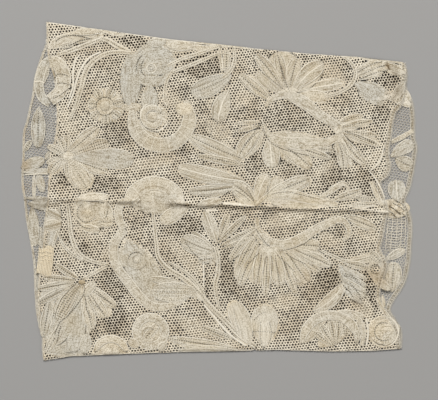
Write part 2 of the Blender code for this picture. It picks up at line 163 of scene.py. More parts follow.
def lay(x, y, above, layer):
    """A point of the flat pattern laid on its layer of the pressed cuff, in metres."""
    top, bottom = read_table(TOP_FOLD, x), read_table(BOTTOM_FOLD, x)
    beyond = max(y - top, bottom - y, 0.0)
    y = min(max(y, bottom), top) - FOLD_TUCK * beyond * (1 if y > top else -1 if y < bottom else 0)
    to_fold = min(top - y, y - bottom)
    turn = max(0.0, 1.0 - to_fold / FOLD_REACH) ** 2
    level = LAYER_HEIGHT[layer] + lift(x, y, layer)
    height = level + (FOLD_HEIGHT - level) * turn + above * (1.0 - FOLD_THINNING * turn)
    return Vector((x, y, height)) * MM


def smooth_line(points, step):
    """A curve through given points, with a point about every step."""
    line = []
    for i in range(len(points) - 1):
        before, start, end = points[max(i - 1, 0)], points[i], points[i + 1]
        after = points[min(i + 2, len(points) - 1)]
        count = max(1, round(math.dist(start, end) / step))
        for t in (k / count for k in range(count)):
            line.append(tuple(
                0.5 * (2 * b + (c - a) * t + (2 * a - 5 * b + 4 * c - d) * t**2
                       + (3 * b - a - 3 * c + d) * t**3)
                for a, b, c, d in zip(before, start, end, after)
            ))
    return line + [tuple(points[-1])]


def shifted_line(line, distances):
    """A line moved sideways, to the left of its direction, by one distance for each point."""
    moved = []
    for i, ((x, y), distance) in enumerate(zip(line, distances)):
        (x0, y0), (x1, y1) = line[max(i - 1, 0)], line[min(i + 1, len(line) - 1)]
        run = math.hypot(x1 - x0, y1 - y0)
        moved.append((x - (y1 - y0) / run * distance, y + (x1 - x0) / run * distance))
    return moved


# RIM is a rim cord's width and CHANNEL half that of the open row along the middle of a petal. In
# narrow work each takes no more than its share of the half width.
RIM, RIM_SHARE, CHANNEL, CHANNEL_SHARE = 0.62, 0.34, 0.5, 0.25
UNDERSIDE = [(0.6, -0.6, 0.0), (-0.6, -0.6, 0.0)]
# Where two pieces of work cross, one lies this much over the other, in levels, and each piece of work
# lies a little over the one before, in turns.
OVERLAP, LEVELS, SEAM_LEVEL = 0.05, 4, 6
TURN_OVERLAP, TURNS = 0.012, 9
# A barred tape has a raised bar at each pitch: its height and how open it is
BAR_HEIGHT, BAR_GAP = 0.8, -0.42
# Where the work is narrower than this share of its widest, it is lower too.
FULL_SHARE = 0.35
MERGE = 0.002
sleeve_order = itertools.count()


def section_of(style, half_width):
    """The section of one kind of clothwork from its left rim over to the right and back underneath.

    Each point has its side, its height and how open it is: 1 on a row of pinholes, -1 on a rim cord.
    """
    rim = min(RIM_SHARE, RIM / half_width)
    channel = min(CHANNEL_SHARE, CHANNEL / half_width)
    rimmed = [(-1.0, 0.0, -0.5), (-1.0 + 0.5 * rim, 0.85, -0.75)]
    to_middle = {
        "cord": [(-1.0, 0.0, -0.5), (-0.6, 0.6, -0.6), (0.0, 0.8, -0.6)],
        "stem": [
            (-1.0, 0.0, -0.2), (-0.75, 0.6, -0.45), (-0.35, 0.55, -0.2), (-0.16, 0.3, 0.5), (0.0, 0.1, 1.0),
        ],
        "ground": [(-1.0, 0.0, 0.0), (-0.85, 0.2, 0.0), (0.0, 0.2, 0.0)],
        "seam": [(-1.0, 0.0, 0.95), (-0.5, 0.5, 1.0), (0.0, 0.5, 1.0)],
        "holes": [(-1.0, 0.0, 0.0), (-0.7, 0.5, 0.55), (0.0, 0.5, 0.75)],
        "plain": rimmed + [(-1.0 + 1.3 * rim, 0.35, 0.5), (-1.0 + 1.9 * rim, 0.55, 0.0), (0.0, 0.6, 0.0)],
        "vein": rimmed + [
            (-1.0 + 1.3 * rim, 0.30, 0.6), (-1.0 + 2.0 * rim, 0.5, 0.0), (-0.15, 0.45, 0.3), (0.0, 1.0, -0.8),
        ],
        "ribbed": rimmed + [
            (-1.0 + 1.3 * rim, 0.3, 0.7), (-0.55, 0.7, -0.3), (-0.40, 0.3, 0.7), (-0.22, 0.7, -0.3),
            (0.0, 0.3, 0.8),
        ],
        "dotted": rimmed + [
            (-1.0 + 1.3 * rim, 0.3, 1.0), (-0.62, 0.5, 0.0), (-0.42, 0.35, 1.0), (-0.22, 0.5, 0.0),
            (0.0, 0.3, 1.0),
        ],
        "filled": rimmed + [
            (-1.0 + 1.4 * rim, 0.0, 0.45), (-0.35, 0.1, 0.4), (-0.14, 0.2, 0.3), (0.0, 0.9, -0.8),
        ],
        "petal": rimmed + [
            (-1.0 + 1.3 * rim, 0.3, 0.9), (-1.0 + 2.0 * rim, 0.5, 0.0), (-channel, 0.55, 0.0),
            (-0.4 * channel, 0.15, 1.0), (0.0, 0.15, 1.0),
        ],
    }[style]
    right = [(-side, height, gap) for side, height, gap in reversed(to_middle[:-1])]
    return to_middle + right + UNDERSIDE + to_middle[:1]


def new_cloth():
    """An empty mesh with the layers that the thread materials read."""
    cloth = bmesh.new()
    cloth.verts.layers.float.new("gap")
    cloth.verts.layers.float.new("tone")
    cloth.loops.layers.uv.new("thread_run")
    return cloth


def add_sleeve(cloth, line, half_widths, style, tone, rise, bar_pitch=0.0):
    """A closed flat sleeve of cloth along a line: its section widens and narrows with the work."""
    section = section_of(style, max(half_widths))
    over = OVERLAP * {"ground": 0, "seam": SEAM_LEVEL}.get(style, 1 + len(cloth.verts) % LEVELS)
    over += TURN_OVERLAP * (next(sleeve_order) % TURNS)
    runs = [0.0]
    for start, end in zip(line, line[1:]):
        runs.append(runs[-1] + math.dist(start, end))
    columns, rows = len(line) - 1, len(section) - 1
    made = bmesh.ops.create_grid(cloth, x_segments=columns, y_segments=rows, size=1.0)["verts"]
    gap, shade = cloth.verts.layers.float["gap"], cloth.verts.layers.float["tone"]
    spots = {}
    for corner in made:
        i = round((corner.co.x + 1.0) / 2.0 * columns)
        j = round((corner.co.y + 1.0) / 2.0 * rows)
        side, height, open_work = section[j]
        (x0, y0), (x1, y1) = line[max(i - 1, 0)], line[min(i + 1, columns)]
        length = math.hypot(x1 - x0, y1 - y0)
        reach = side * half_widths[i]
        fullness = min(1.0, half_widths[i] / (FULL_SHARE * max(half_widths)))
        on_bar = bar_pitch and runs[i] // bar_pitch != runs[max(i - 1, 0)] // bar_pitch
        if on_bar and height > 0.0:
            height, open_work = BAR_HEIGHT, BAR_GAP
        height = height * rise * fullness + over
        corner.co = (line[i][0] - (y1 - y0) / length * reach, line[i][1] + (x1 - x0) / length * reach, height)
        corner[gap] = open_work
        corner[shade] = tone
        spots[corner] = (runs[i], reach)
    uv = cloth.loops.layers.uv["thread_run"]
    faces = {face for corner in made for face in corner.link_faces}
    for face in faces:
        face.smooth = True
        for loop in face.loops:
            loop[uv].uv = spots[loop.vert]
    bmesh.ops.remove_doubles(cloth, verts=made, dist=MERGE)
    faces = [face for face in faces if face.is_valid]
    bmesh.ops.recalc_face_normals(cloth, faces=faces)


def closed_ends(widths):
    """Half widths that close to nothing at both ends."""
    return [0.0, *widths[1:-1], 0.0]


BAND_STEP, BARRED_STEP, BAND_RISE, BAR_PITCH, BLUNTNESS = 1.1, 0.7, 0.24, 4.4, 0.12


def add_band(cloth, style, tone, points, half_widths):
    """A tape or stem through some points, with its half widths at the start, middle and end."""
    barred = style == "barred"
    line = smooth_line(points, BARRED_STEP if barred else BAND_STEP)
    # A blunt end needs its last two points close together.
    line.insert(1, tuple(a + BLUNTNESS * (b - a) for a, b in zip(line[0], line[1])))
    line.insert(-1, tuple(b + BLUNTNESS * (a - b) for a, b in zip(line[-2], line[-1])))
    start, centre, end = half_widths
    widths = []
    for i in range(len(line)):
        t = 2.0 * i / (len(line) - 1)
        widths.append(start + (centre - start) * t if t < 1 else centre + (end - centre) * (t - 1))
    kind, bars = ("plain", BAR_PITCH) if barred else (style, 0.0)
    add_sleeve(cloth, line, closed_ends(widths), kind, tone, BAND_RISE, bars)


# Painted shade along the crease and in the smaller rumples, and painted highlight on their ridges: strength,
# where below 0 is painted shade, half width, and the line from x, y to x, y
CREASE_LIGHT_AND_SHADE_LINES = (
    (-0.5, 0.8, -100.9, -4.5, -87.5, -4.3), (-0.35, 1, -100.9, -9.7, -92.7, -9.7),
    (-0.25, 0.8, -82.3, -4.8, -51.3, -5.6), (-0.35, 1, -52.3, -6.6, -41, -6.6),
    (-0.2, 1, -52.3, -6.6, -41, -6.6), (-0.7, 1.8, -41, -6.3, -16.2, -7.1),
    (-0.35, 1.1, -16.2, -6.9, 1.4, -7.6), (-0.3, 0.7, 1.4, -7.9, 20, -9.3),
    (-0.2, 1.3, 4.5, -8.9, 15.9, -10.2), (-0.4, 0.8, 20, -9.3, 36.6, -9.7),
    (-0.5, 0.6, 36.6, -9.7, 53.1, -10), (-0.3, 1.1, 62.9, -10.5, 74.8, -11.5),
    (-0.25, 0.9, 74.8, -11.5, 87.2, -11.7), (-0.6, 0.5, -51.3, -13.7, -46.7, -14),
    (0.3, 1.1, -74.1, -2.7, -58.6, -3.2), (0.5, 0.8, -81, -3.7, -78.7, -4),
    (0.75, 0.8, -40.5, -4.3, -34, -4.7), (0.5, 0.9, -21.3, -5.3, -15.6, -5.8),
    (0.75, 0.8, -7.1, -9.8, -1.2, -9.7), (0.75, 1, 1.9, -6.1, 10.7, -6.7),
    (0.65, 0.7, 10.7, -6.9, 17.4, -7.8), (0.45, 0.6, 64.5, -7.4, 80.5, -7.6),
    (0.55, 0.6, 67.6, -9.5, 80, -9.8), (0.65, 0.8, 81, -10.2, 88.3, -10.5),
    (0.3, 4.7, 7.6, -61.4, 13.8, -75.9), (0.35, 5.7, 23.7, -64.5, 23.7, -76.9),
    (-0.5, 1.6, -98.9, -7.6, -83.4, -7.1), (-0.3, 2.1, -97.8, 36.8, -88.5, 37.9),
    (-1, 0.4, 87.8, -7.6, 94, -11.8), (-1, 0.4, 89.8, -6.1, 95.5, -10.2), (-1, 0.4, 87.2, -10, 91.4, -13.3),
    (-0.8, 0.3, 91.4, -5, 95.5, -7.4), (0.7, 0.9, 84.1, -5, 91.4, -6.6), (0.6, 0.8, 91.4, -8.7, 97.1, -6.6),
    (-1.3, 0.5, 86.7, 66.8, 87.8, 62.7), (-0.3, 3.1, 90.3, 64.8, 92.9, 51.3),
    (0.7, 0.8, 83.1, 48.2, 89.3, 49.8), (0.6, 0.8, 89.8, 45.1, 97.6, 46.1),
)


def painted_light_and_shade_at(x, y):
    """How far a place is painted light as a highlight, above 0, or dark as shade, below 0."""
    total = 0.0
    for strength, half_width, x0, y0, x1, y1 in CREASE_LIGHT_AND_SHADE_LINES:
        if min(y0, y1) - half_width < y < max(y0, y1) + half_width:
            run_x, run_y = x1 - x0, y1 - y0
            along = min(max(((x - x0) * run_x + (y - y0) * run_y) / (run_x**2 + run_y**2), 0.0), 1.0)
            away = math.hypot(x - x0 - along * run_x, y - y0 - along * run_y) / half_width
            total += strength * max(0.0, 1.0 - away * away)
    return total


# Close to the crease, edges longer than this are parted so that they bend with it.
CREASE_REACH, CREASE_GRAIN = 4.5, 0.6
flat_work = {"front": [], "back": []}


def near_crease(corner):
    return abs(corner.co.y - crest_line(corner.co.x)) < CREASE_REACH


def finish_piece(name, cloth, layer, material, nodes=(), hides_net=True):
    """Lays a flat mesh on its layer and hands it in as a piece of the cuff."""
    if hides_net:
        flat_work[layer].append(BVHTree.FromBMesh(cloth))
        bent = [edge for edge in cloth.edges if edge.calc_length() > CREASE_GRAIN]
        bent = [edge for edge in bent if all(near_crease(corner) for corner in edge.verts)]
        bmesh.ops.subdivide_edges(cloth, edges=bent, cuts=1, use_grid_fill=True)
    # Each corner takes its painted shade or painted highlight from the crease lines.
    painted_light_and_shade = cloth.verts.layers.float.new("painted_light_and_shade")
    for corner in cloth.verts:
        corner[painted_light_and_shade] = painted_light_and_shade_at(corner.co.x, corner.co.y)
        corner.co = lay(*corner.co, layer)
    data = bpy.data.meshes.new(name)
    cloth.to_mesh(data)
    cloth.free()
    data.materials.append(material)
    piece = bpy.data.objects.new(name, data)
    bpy.context.scene.collection.objects.link(piece)
    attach(piece, "root")
    if nodes:
        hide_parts(*nodes)
    return piece


def add_node(tree, kind, **settings):
    node = tree.nodes.new(kind)
    for name, value in settings.items():
        setattr(node, name, value)
    return node


def attribute(tree, name):
    return add_node(tree, "ShaderNodeAttribute", attribute_name=name).outputs["Fac"]


def spread(tree, value, low, high, most=1.0):
    """The share of the way that a value has gone from low to high, from 0 to most."""
    node = add_node(tree, "ShaderNodeMapRange")
    node.inputs["From Min"].default_value = low
    node.inputs["From Max"].default_value = high
    node.inputs["To Max"].default_value = most
    tree.links.new(value, node.inputs["Value"])
    return node.outputs["Result"]


def product(tree, first, second):
    node = add_node(tree, "ShaderNodeMath", operation="MULTIPLY")
    tree.links.new(first, node.inputs[0])
    if isinstance(second, float):
        node.inputs[1].default_value = second
    else:
        tree.links.new(second, node.inputs[1])
    return node.outputs["Value"]


def sine(tree, value, pitch):
    """A wave along a value, one to each pitch, from -1 to 1."""
    node = add_node(tree, "ShaderNodeMath", operation="SINE")
    tree.links.new(product(tree, value, math.tau / pitch), node.inputs[0])
    return node.outputs["Value"]


def clouded(tree, place, scale, detail):
    """A soft noise over a place, its scale the patches to a metre."""
    node = add_node(tree, "ShaderNodeTexNoise")
    node.inputs["Scale"].default_value = scale
    node.inputs["Detail"].default_value = detail
    tree.links.new(place, node.inputs["Vector"])
    return node.outputs["Fac"]


def mixed(tree, colour, other, share, blend="MULTIPLY", clamp=True):
    """A colour, or the colour at a socket, turned towards another as far as share says."""
    node = add_node(tree, "ShaderNodeMix", data_type="RGBA", blend_type=blend, clamp_factor=clamp)
    node.inputs["B"].default_value = (*other, 1.0)
    tree.links.new(share, node.inputs["Factor"])
    if isinstance(colour, tuple):
        node.inputs["A"].default_value = (*colour, 1.0)
    else:
        tree.links.new(colour, node.inputs["A"])
    return node.outputs["Result"]


def new_thread(name, roughness, specular):
    """A new material, with its node tree, its shader and the place on the cuff."""
    material = bpy.data.materials.new(name)
    material.use_nodes = True
    shader = material.node_tree.nodes["Principled BSDF"]
    shader.inputs["Roughness"].default_value = roughness
    shader.inputs["Specular IOR Level"].default_value = specular
    place = add_node(material.node_tree, "ShaderNodeTexCoord").outputs["Object"]
    return material, material.node_tree, shader, place


def embossed(tree, shader, height, strength, depth):
    """Raises the surface by a height, of 0 to 1, times a depth in millimetres."""
    bump = add_node(tree, "ShaderNodeBump")
    bump.inputs["Strength"].default_value = strength
    bump.inputs["Distance"].default_value = depth * MM
    tree.links.new(height, bump.inputs["Height"])
    tree.links.new(bump.outputs["Normal"], shader.inputs["Normal"])


# Old stains: x, y, reach, strength
STAINS = (
    (-100.5, 13.5, 4.5, 0.8), (-99.5, 30, 5, 0.4), (-100, 2, 4, 0.5), (86.7, 64.5, 2.2, 0.8),
    (81, -44, 9, 0.55), (49, -50, 14, 0.3), (33, 60, 12, 0.25), (60, 46, 9, 0.25), (70, -58, 6, 0.4),
    (-64, 22, 12, 0.2), (90, 50, 6, 0.35),
)
# The stains' brown, then the painted shade and painted highlight colours of the crease lines
STAIN, PAINTED_SHADE, PAINTED_HIGHLIGHT = (0.62, 0.47, 0.28), (0.30, 0.25, 0.18), (0.84, 0.78, 0.66)
# How far a place is painted where its colour has turned fully to painted shade, or to painted highlight
FULL_PAINTED_SHADE, FULL_PAINTED_HIGHLIGHT = -1.0, 1.2


def stained_with_painted_light(tree, place, colour):
    """A colour browned where the cuff is stained, with painted shade and painted highlight along its crease
    and rumples.
    """
    painted_light_and_shade = attribute(tree, "painted_light_and_shade")
    # Painted shade below 0 and painted highlight above 0
    colour = mixed(tree, colour, PAINTED_SHADE, spread(tree, painted_light_and_shade, 0.0, FULL_PAINTED_SHADE))
    colour = mixed(tree, colour, PAINTED_HIGHLIGHT, spread(tree, painted_light_and_shade, 0.0, FULL_PAINTED_HIGHLIGHT), "MIX")
    for x, y, reach, strength in STAINS:
        away = add_node(tree, "ShaderNodeVectorMath", operation="DISTANCE")
        away.inputs[1].default_value = (x * MM, y * MM, LAYER_HEIGHT["front"] * MM)
        tree.links.new(place, away.inputs[0])
        colour = mixed(tree, colour, STAIN, spread(tree, away.outputs["Value"], reach * MM, 0.0, strength))
    return colour


# Uneven ageing, and the dark specks between threads that are not quite closed: patches to a metre,
# detail, the noise where they start and where they are full, and the colour that they multiply by
AGEING = (70.0, 4.0, 0.42, 0.72, (0.93, 0.88, 0.79))
SPECKS = (1900.0, 1.0, 0.46, 0.66, (0.50, 0.46, 0.38))
# Streaks along the thread: their detail and so on as above, streaks for each millimetre along the
# thread, across it, and for each metre from place to place
STREAKS = (1.0, 2.0, 0.50, 0.72, (0.61, 0.56, 0.48))
STREAK_LENGTHWISE, STREAK_ACROSS, STREAK_DRIFT = 0.14, 1.5, 120.0
# How open the work is where cord begins and is full, and where the row of pinholes does, and the part
# of each wave along the thread that is a hole
CORD_START, CORD_FULL, HOLES_START, HOLES_FULL, DOT_START, DOT_FULL = -0.15, -0.8, 0.3, 0.9, -0.5, 0.4
SHEEN, SPECK_RELIEF, WEAVE_STRENGTH, WEAVE_DEPTH = 0.15, 1.4, 0.5, 0.12


def mottled(tree, colour, place, scale, detail, start, full, darker):
    """A colour darkened in patches, and the noise that the patches follow."""
    clouds = clouded(tree, place, scale, detail)
    return mixed(tree, colour, darker, spread(tree, clouds, start, full)), clouds


def linen(name, cream, grey, cord, shadow, weave_pitch, hole_pitch):
    """Old linen thread: cream where two layers lie together, greyer where one does, with pinholes."""
    material, tree, shader, place = new_thread(name, roughness=0.92, specular=0.2)
    shader.inputs["Sheen Weight"].default_value = SHEEN
    link = tree.links.new
    gap = attribute(tree, "gap")
    run = add_node(tree, "ShaderNodeUVMap", uv_map="thread_run").outputs["UV"]
    parts = add_node(tree, "ShaderNodeSeparateXYZ")
    link(run, parts.inputs["Vector"])

    colour = mixed(tree, grey, cream, attribute(tree, "tone"), "MIX", clamp=False)
    colour, _ = mottled(tree, colour, place, *AGEING)
    colour, specks = mottled(tree, colour, place, *SPECKS)
    # The threads lie lengthwise, so the work is streaked along its run.
    along = add_node(tree, "ShaderNodeVectorMath", operation="MULTIPLY_ADD")
    along.inputs[1].default_value = (STREAK_LENGTHWISE, STREAK_ACROSS, 0.0)
    link(run, along.inputs[0])
    far = add_node(tree, "ShaderNodeVectorMath", operation="SCALE")
    far.inputs["Scale"].default_value = STREAK_DRIFT
    link(place, far.inputs[0])
    link(far.outputs["Vector"], along.inputs[2])
    colour, _ = mottled(tree, colour, along.outputs["Vector"], *STREAKS)
    # Rim cords and veins are whole, bright thread.
    colour = mixed(tree, colour, cord, spread(tree, gap, CORD_START, CORD_FULL), "MIX")
    # The pinholes left beside rims and veins: a dark dot for each twist of the threads
    dots = spread(tree, sine(tree, parts.outputs["X"], hole_pitch), DOT_START, DOT_FULL)
    open_row = spread(tree, gap, HOLES_START, HOLES_FULL)
    colour = mixed(tree, colour, shadow, product(tree, dots, open_row), "MIX")
    link(stained_with_painted_light(tree, place, colour), shader.inputs["Base Color"])
    # The close weave of the tape: fine ribs along it and across it
    ribs = [sine(tree, parts.outputs[side], weave_pitch) for side in ("X", "Y")]
    rough = add_node(tree, "ShaderNodeMath", operation="MULTIPLY_ADD")
    rough.inputs[1].default_value = SPECK_RELIEF
    link(specks, rough.inputs[0])
    link(product(tree, *ribs), rough.inputs[2])
    embossed(tree, shader, rough.outputs["Value"], WEAVE_STRENGTH, WEAVE_DEPTH)
    return material


CREAM, GREY, CORD, PINHOLE = (0.66, 0.60, 0.485), (0.53, 0.51, 0.45), (0.78, 0.72, 0.60), (0.07, 0.06, 0.04)
clothwork_linen = linen("clothwork_linen", CREAM, GREY, CORD, PINHOLE, weave_pitch=0.55, hole_pitch=1.2)
# Bands and stems: kind, tone from grey to cream, middle line, half widths at start, middle and end
BANDS = {
    "scroll_left": ("plain", 0.7, ((-87.5, 67), (-83.5, 66), (-81, 61.5), (-80.5, 56.5), (-82.5, 51),
        (-87.5, 47)), (3.1, 4.1, 3.1)),
    "band_corner": ("stem", 0.9, ((-84, 70.5), (-76, 73), (-68, 76), (-60.5, 79)), (1, 1.4, 1)),
    "band_slant": ("stem", 0.9, ((-62, 79.5), (-57.5, 78), (-52.5, 75), (-46, 72)), (1.1, 1.7, 1.1)),
    "stem_long": ("stem", 0.9, ((-45.5, 71.5), (-52.5, 72), (-58.5, 71), (-64, 68), (-68.5, 63),
        (-70.5, 56.5), (-72.5, 49), (-74.5, 43), (-77.5, 37)), (1, 1.6, 0.8)),
    "stem_long_outer": ("cord", 0.8, ((-61, 72), (-67, 69), (-71.5, 63), (-74, 56), (-75.5, 50),
        (-78.5, 43)), (0.5, 0.7, 0.4)),
    "cord_left_outer": ("cord", 0.8, ((-72, 70.5), (-74.5, 67), (-75.5, 60.5), (-75.5, 54.5), (-77.5, 48)),
        (0.4, 0.6, 0.4)),
    "wedge_top": ("plain", 0.9, ((-15, 74.5), (-7.5, 74), (-1.5, 74.5)), (1, 1.6, 1)),
    "fold_tape_left": ("plain", 0.9, ((-60.5, 83), (-54.5, 81.5), (-49, 80.5)), (0.7, 1.2, 0.7)),
    "fold_tape_mid": ("plain", 0.9, ((-12, 77), (-2.5, 76), (6.5, 75), (14.5, 74)), (0.6, 0.9, 0.6)),
    "fold_tape_right": ("plain", 0.9, ((65, 69.5), (74, 69.5), (84, 68), (95, 66.5)), (0.7, 1, 0.7)),
    "fold_tape_low": ("plain", 0.9, ((-21.5, -82), (-10, -82), (3.5, -82.5), (14, -82.5)), (0.6, 1.2, 0.6)),
    "vee_upper": ("stem", 0.9, ((-27, 64.5), (-20.5, 68), (-10, 71.5), (0, 75)), (0.9, 1.2, 0.8)),
    "vee_lower": ("stem", 0.9, ((-24.5, 61.5), (-16.5, 64.5), (-8, 68), (0.5, 71.5)), (0.9, 1.2, 0.8)),
    "stem_small": ("stem", 0.9, ((-24, 62.5), (-26.5, 58.5), (-28, 53), (-28, 47.5), (-26.5, 44)),
        (0.7, 1, 1.1)),
    "upright_left": ("stem", 0.9, ((0.5, 74.5), (0.5, 69.5), (1.5, 62.5)), (0.7, 1, 0.7)),
    "upright_right": ("stem", 0.9, ((7.5, 74), (8, 68), (6, 62.5), (1.5, 58.5)), (0.8, 1.2, 0.8)),
    "cup_band": ("plain", 0.7, ((24, 43.5), (26, 47), (30, 49), (34.5, 50), (39.5, 48), (45, 45), (51, 40),
        (56, 37), (61.5, 33.5)), (0.8, 3.4, 2.1)),
    "crest_line": ("cord", 0.9, ((22, 37), (24.5, 31.5), (29.5, 28), (36.5, 26.5)), (0.3, 0.5, 0.3)),
    "crest_band": ("plain", 0.8, ((22.5, 35), (26, 29), (33, 25.5), (43.5, 24.5), (54.5, 25), (62, 28.5)),
        (0.8, 3.5, 1.6)),
    "stem_top_right": ("stem", 0.9, ((64, 70), (68.5, 66), (70.5, 60.5), (68, 55), (62, 51), (54.5, 49)),
        (0.8, 1.3, 0.8)),
    "inner_scallop": ("cord", 0.9, ((85, 23.5), (84, 18), (81.5, 13.5), (78, 10.5)), (0.3, 0.5, 0.3)),
    "inner_scallop_low": ("cord", 0.9, ((77.5, 10.5), (80.5, 7), (83.5, 1.5), (85.5, -3.5)),
        (0.3, 0.5, 0.3)),
    "arch_band": ("plain", 0.9, ((19, -7.5), (23, -4), (29.5, -2), (38, -2), (50, -5), (61.5, -7)),
        (0.8, 3, 1.2)),
    "curl_centre": ("plain", 0.8, ((52, -3.5), (58.5, 0.5), (63.5, 4), (66.5, 2), (66, -1.5)),
        (1, 1.6, 0.8)),
    "band_right": ("plain", 0.9, ((78.5, 5), (81, -1), (84.5, -7.5)), (1, 1.6, 1)),
    "calyx_band": ("barred", 0.8, ((19.5, -13.5), (20, -19), (23, -24), (29.5, -27), (36.5, -27),
        (44.5, -23), (52, -18.5), (61, -14.5)), (1, 2.8, 2.1)),
    "calyx_hook": ("plain", 0.9, ((60.5, -14.5), (64.5, -15.5), (67, -19.5), (66.5, -23.5), (63.5, -25.5)),
        (2.1, 1.6, 0.7)),
    "stem_vertical": ("stem", 0.8, ((0, -60.5), (-1.5, -54), (-2, -48), (-0.5, -41), (-0.5, -34.5),
        (-2, -28.5)), (0.8, 1.4, 1)),
    "stem_thin": ("cord", 0.8, ((-8, -50), (-8, -41.5), (-8.5, -33.5)), (0.3, 0.5, 0.3)),
    "scroll_tail": ("barred", 0.7, ((-48.5, -4), (-52, -9), (-51.5, -15), (-49, -19.5)), (1.8, 2.3, 2.1)),
    "crescent_low": ("barred", 0.7, ((-49, -19.5), (-54, -27), (-54.5, -34), (-52, -40.5), (-47, -47),
        (-41.5, -54), (-35.5, -59), (-28.5, -60), (-21.5, -57.5), (-15, -53.5), (-8.5, -56)),
        (2.3, 2.8, 1)),
    "stem_diagonal": ("stem", 0.9, ((19, -80.5), (10.5, -74.5), (3, -67), (-4.5, -59.5), (-11.5, -51),
        (-18.5, -45), (-26.5, -40), (-31.5, -34), (-32.5, -27), (-33.5, -18), (-34.5, -9)),
        (1.3, 1.6, 0.9)),
    "stem_diagonal_low": ("cord", 0.9, ((14, -80), (5.5, -74), (-2.5, -65), (-8, -58.5)), (0.5, 0.7, 0.5)),
    "stem_branch": ("stem", 0.8, ((-7.5, -54), (-12, -47), (-18.5, -41), (-26.5, -36.5)), (0.8, 1.1, 0.6)),
    "stem_left": ("stem", 0.9, ((-78.5, -6), (-77.5, -14), (-76.5, -22.5), (-73.5, -30.5), (-67.5, -35.5),
        (-57.5, -38)), (0.9, 1.4, 0.9)),
    "stem_left_inner": ("stem", 0.8, ((-83, -21.5), (-81, -27), (-76.5, -32), (-70, -36)), (0.7, 1, 0.6)),
    "stem_left_low": ("stem", 0.8, ((-83.5, -20.5), (-85, -25), (-86, -29.5)), (0.7, 1, 0.7)),
    "stem_flower_low": ("stem", 0.9, ((-70.5, -45.5), (-63.5, -41.5), (-57.5, -38.5)), (0.8, 1.2, 0.8)),
    "stem_spray": ("stem", 0.8, ((52.5, -30.5), (59, -33.5), (65.5, -36), (74, -35), (83, -32.5)),
        (0.7, 1.2, 0.7)),
    "band_low_right": ("plain", 0.8, ((81.5, -55), (85, -61.5), (90.5, -69)), (0.8, 1.1, 0.8)),
    "lens_line": ("cord", 0.9, ((76, -65.5), (77, -73), (76, -80)), (0.5, 0.6, 0.5)),
    "lens_right": ("plain", 0.8, ((68.5, -63.5), (73, -67.5), (74.5, -74), (73.5, -80)), (1, 1.6, 1)),
}
# Rows of pinholes that part the leaves of a flower or the turns of a scroll: tone, half widths, lines
SEAMS = (
    (0.5, (0.2, 0.2, 0.2), (
        ((-85, 58.5), (-83.5, 60.5), (-81, 60.5), (-78, 59.5)),
        ((-86, 48), (-82.5, 49.5), (-79, 52), (-76, 54.5)),
    )),
    (0.4, (0.1, 0.2, 0.1), (((-84, 55.5), (-81, 56), (-77, 55)),)),
    (0.5, (0.2, 0.2, 0.2), (
        ((-84.5, 77.5), (-80.5, 80), (-74, 80.5), (-67, 79)), ((-77.5, 75), (-73, 77.5), (-66, 79)),
        ((19, -19.5), (22, -24), (26, -28.5), (31.5, -30.5), (37.5, -29.5), (44, -27), (49.5, -22.5)),
        ((19.5, -7.5), (22.5, -5), (25, -2.5), (25, 3)),
        ((27, -1.5), (32, -0.5), (36.5, -0.5), (43, -2), (49.5, -3.5)), ((14, 2), (16, -1), (18, -5)),
        ((8.5, 0.5), (12.5, -2), (16, -5)), ((30, -33), (34, -36.5), (39, -41.5)),
        ((34.5, -32), (39, -35), (44.5, -37.5)), ((27, -33.5), (27.5, -37.5), (27, -42.5)),
        ((24.5, -33.5), (23.5, -37.5), (22.5, -43)), ((20.5, -32), (17, -35.5), (13.5, -40)),
        ((16.5, -30), (12.5, -32), (7, -35)), ((32, -33.5), (34.5, -38.5), (36, -44.5)),
        ((-17.5, -26), (-14.5, -30.5), (-11.5, -33.5), (-8, -36.5), (-5, -39.5)),
        ((22, 36), (18.5, 31), (15, 26.5), (12.5, 23.5)),
        ((22, 36), (24, 29.5), (27.5, 24.5), (35.5, 21), (46, 18.5)),
        ((-74, -47.5), (-78, -51.5), (-81.5, -55.5), (-83.5, -60), (-85, -65.5)),
        ((-70.5, -47.5), (-69.5, -51.5), (-73, -58), (-78, -64), (-82.5, -68), (-85, -74)),
        ((-66.5, -51), (-61, -54.5), (-55.5, -58.5)), ((-68.5, -53), (-65, -58), (-60, -62)),
        ((-69, -56), (-68.5, -61), (-66, -65.5)), ((-82, -69.5), (-83, -74), (-84, -78)),
        ((64.5, -43.5), (68.5, -44.5), (73.5, -48.5)), ((64, -48.5), (67, -51.5), (69.5, -55)),
        ((71.5, 61.5), (78.5, 65.5), (84.5, 67)), ((72.5, 60), (79.5, 63), (87, 65.5)),
        ((73, 58), (80, 61), (87, 62.5)), ((7.5, -61), (8.5, -66.5), (10.5, -72.5)),
        ((18, -66.5), (21, -63.5), (24, -62.5)),
    )),
    (0.4, (0.2, 0.2, 0.2), (((17.5, -72.5), (23, -72.5), (29, -73)),)),
    (0.5, (0.2, 0.2, 0.2), (
        ((21.5, -67.5), (21, -73.5), (22, -79)), ((26, -67.5), (27, -73.5), (25.5, -79)),
    )),
    (0.5, (0.2, 0.3, 0.2), (
        ((67.5, -47.5), (70, -50), (73, -54.5)), ((65, -42.5), (68.5, -43.5), (71.5, -46)),
    )),
    (0.5, (0.2, 0.2, 0.2), (
        ((-41, 43), (-41, 37.5), (-37.5, 32.5), (-31.5, 30.5)), ((36.5, 51.5), (34, 57.5), (32, 65)),
        ((35, 51.5), (28.5, 56.5), (22, 61.5)), ((64.5, 29.5), (69, 24.5), (74, 18)),
        ((65, 31), (73, 28.5), (80.5, 25)),
    )),
)
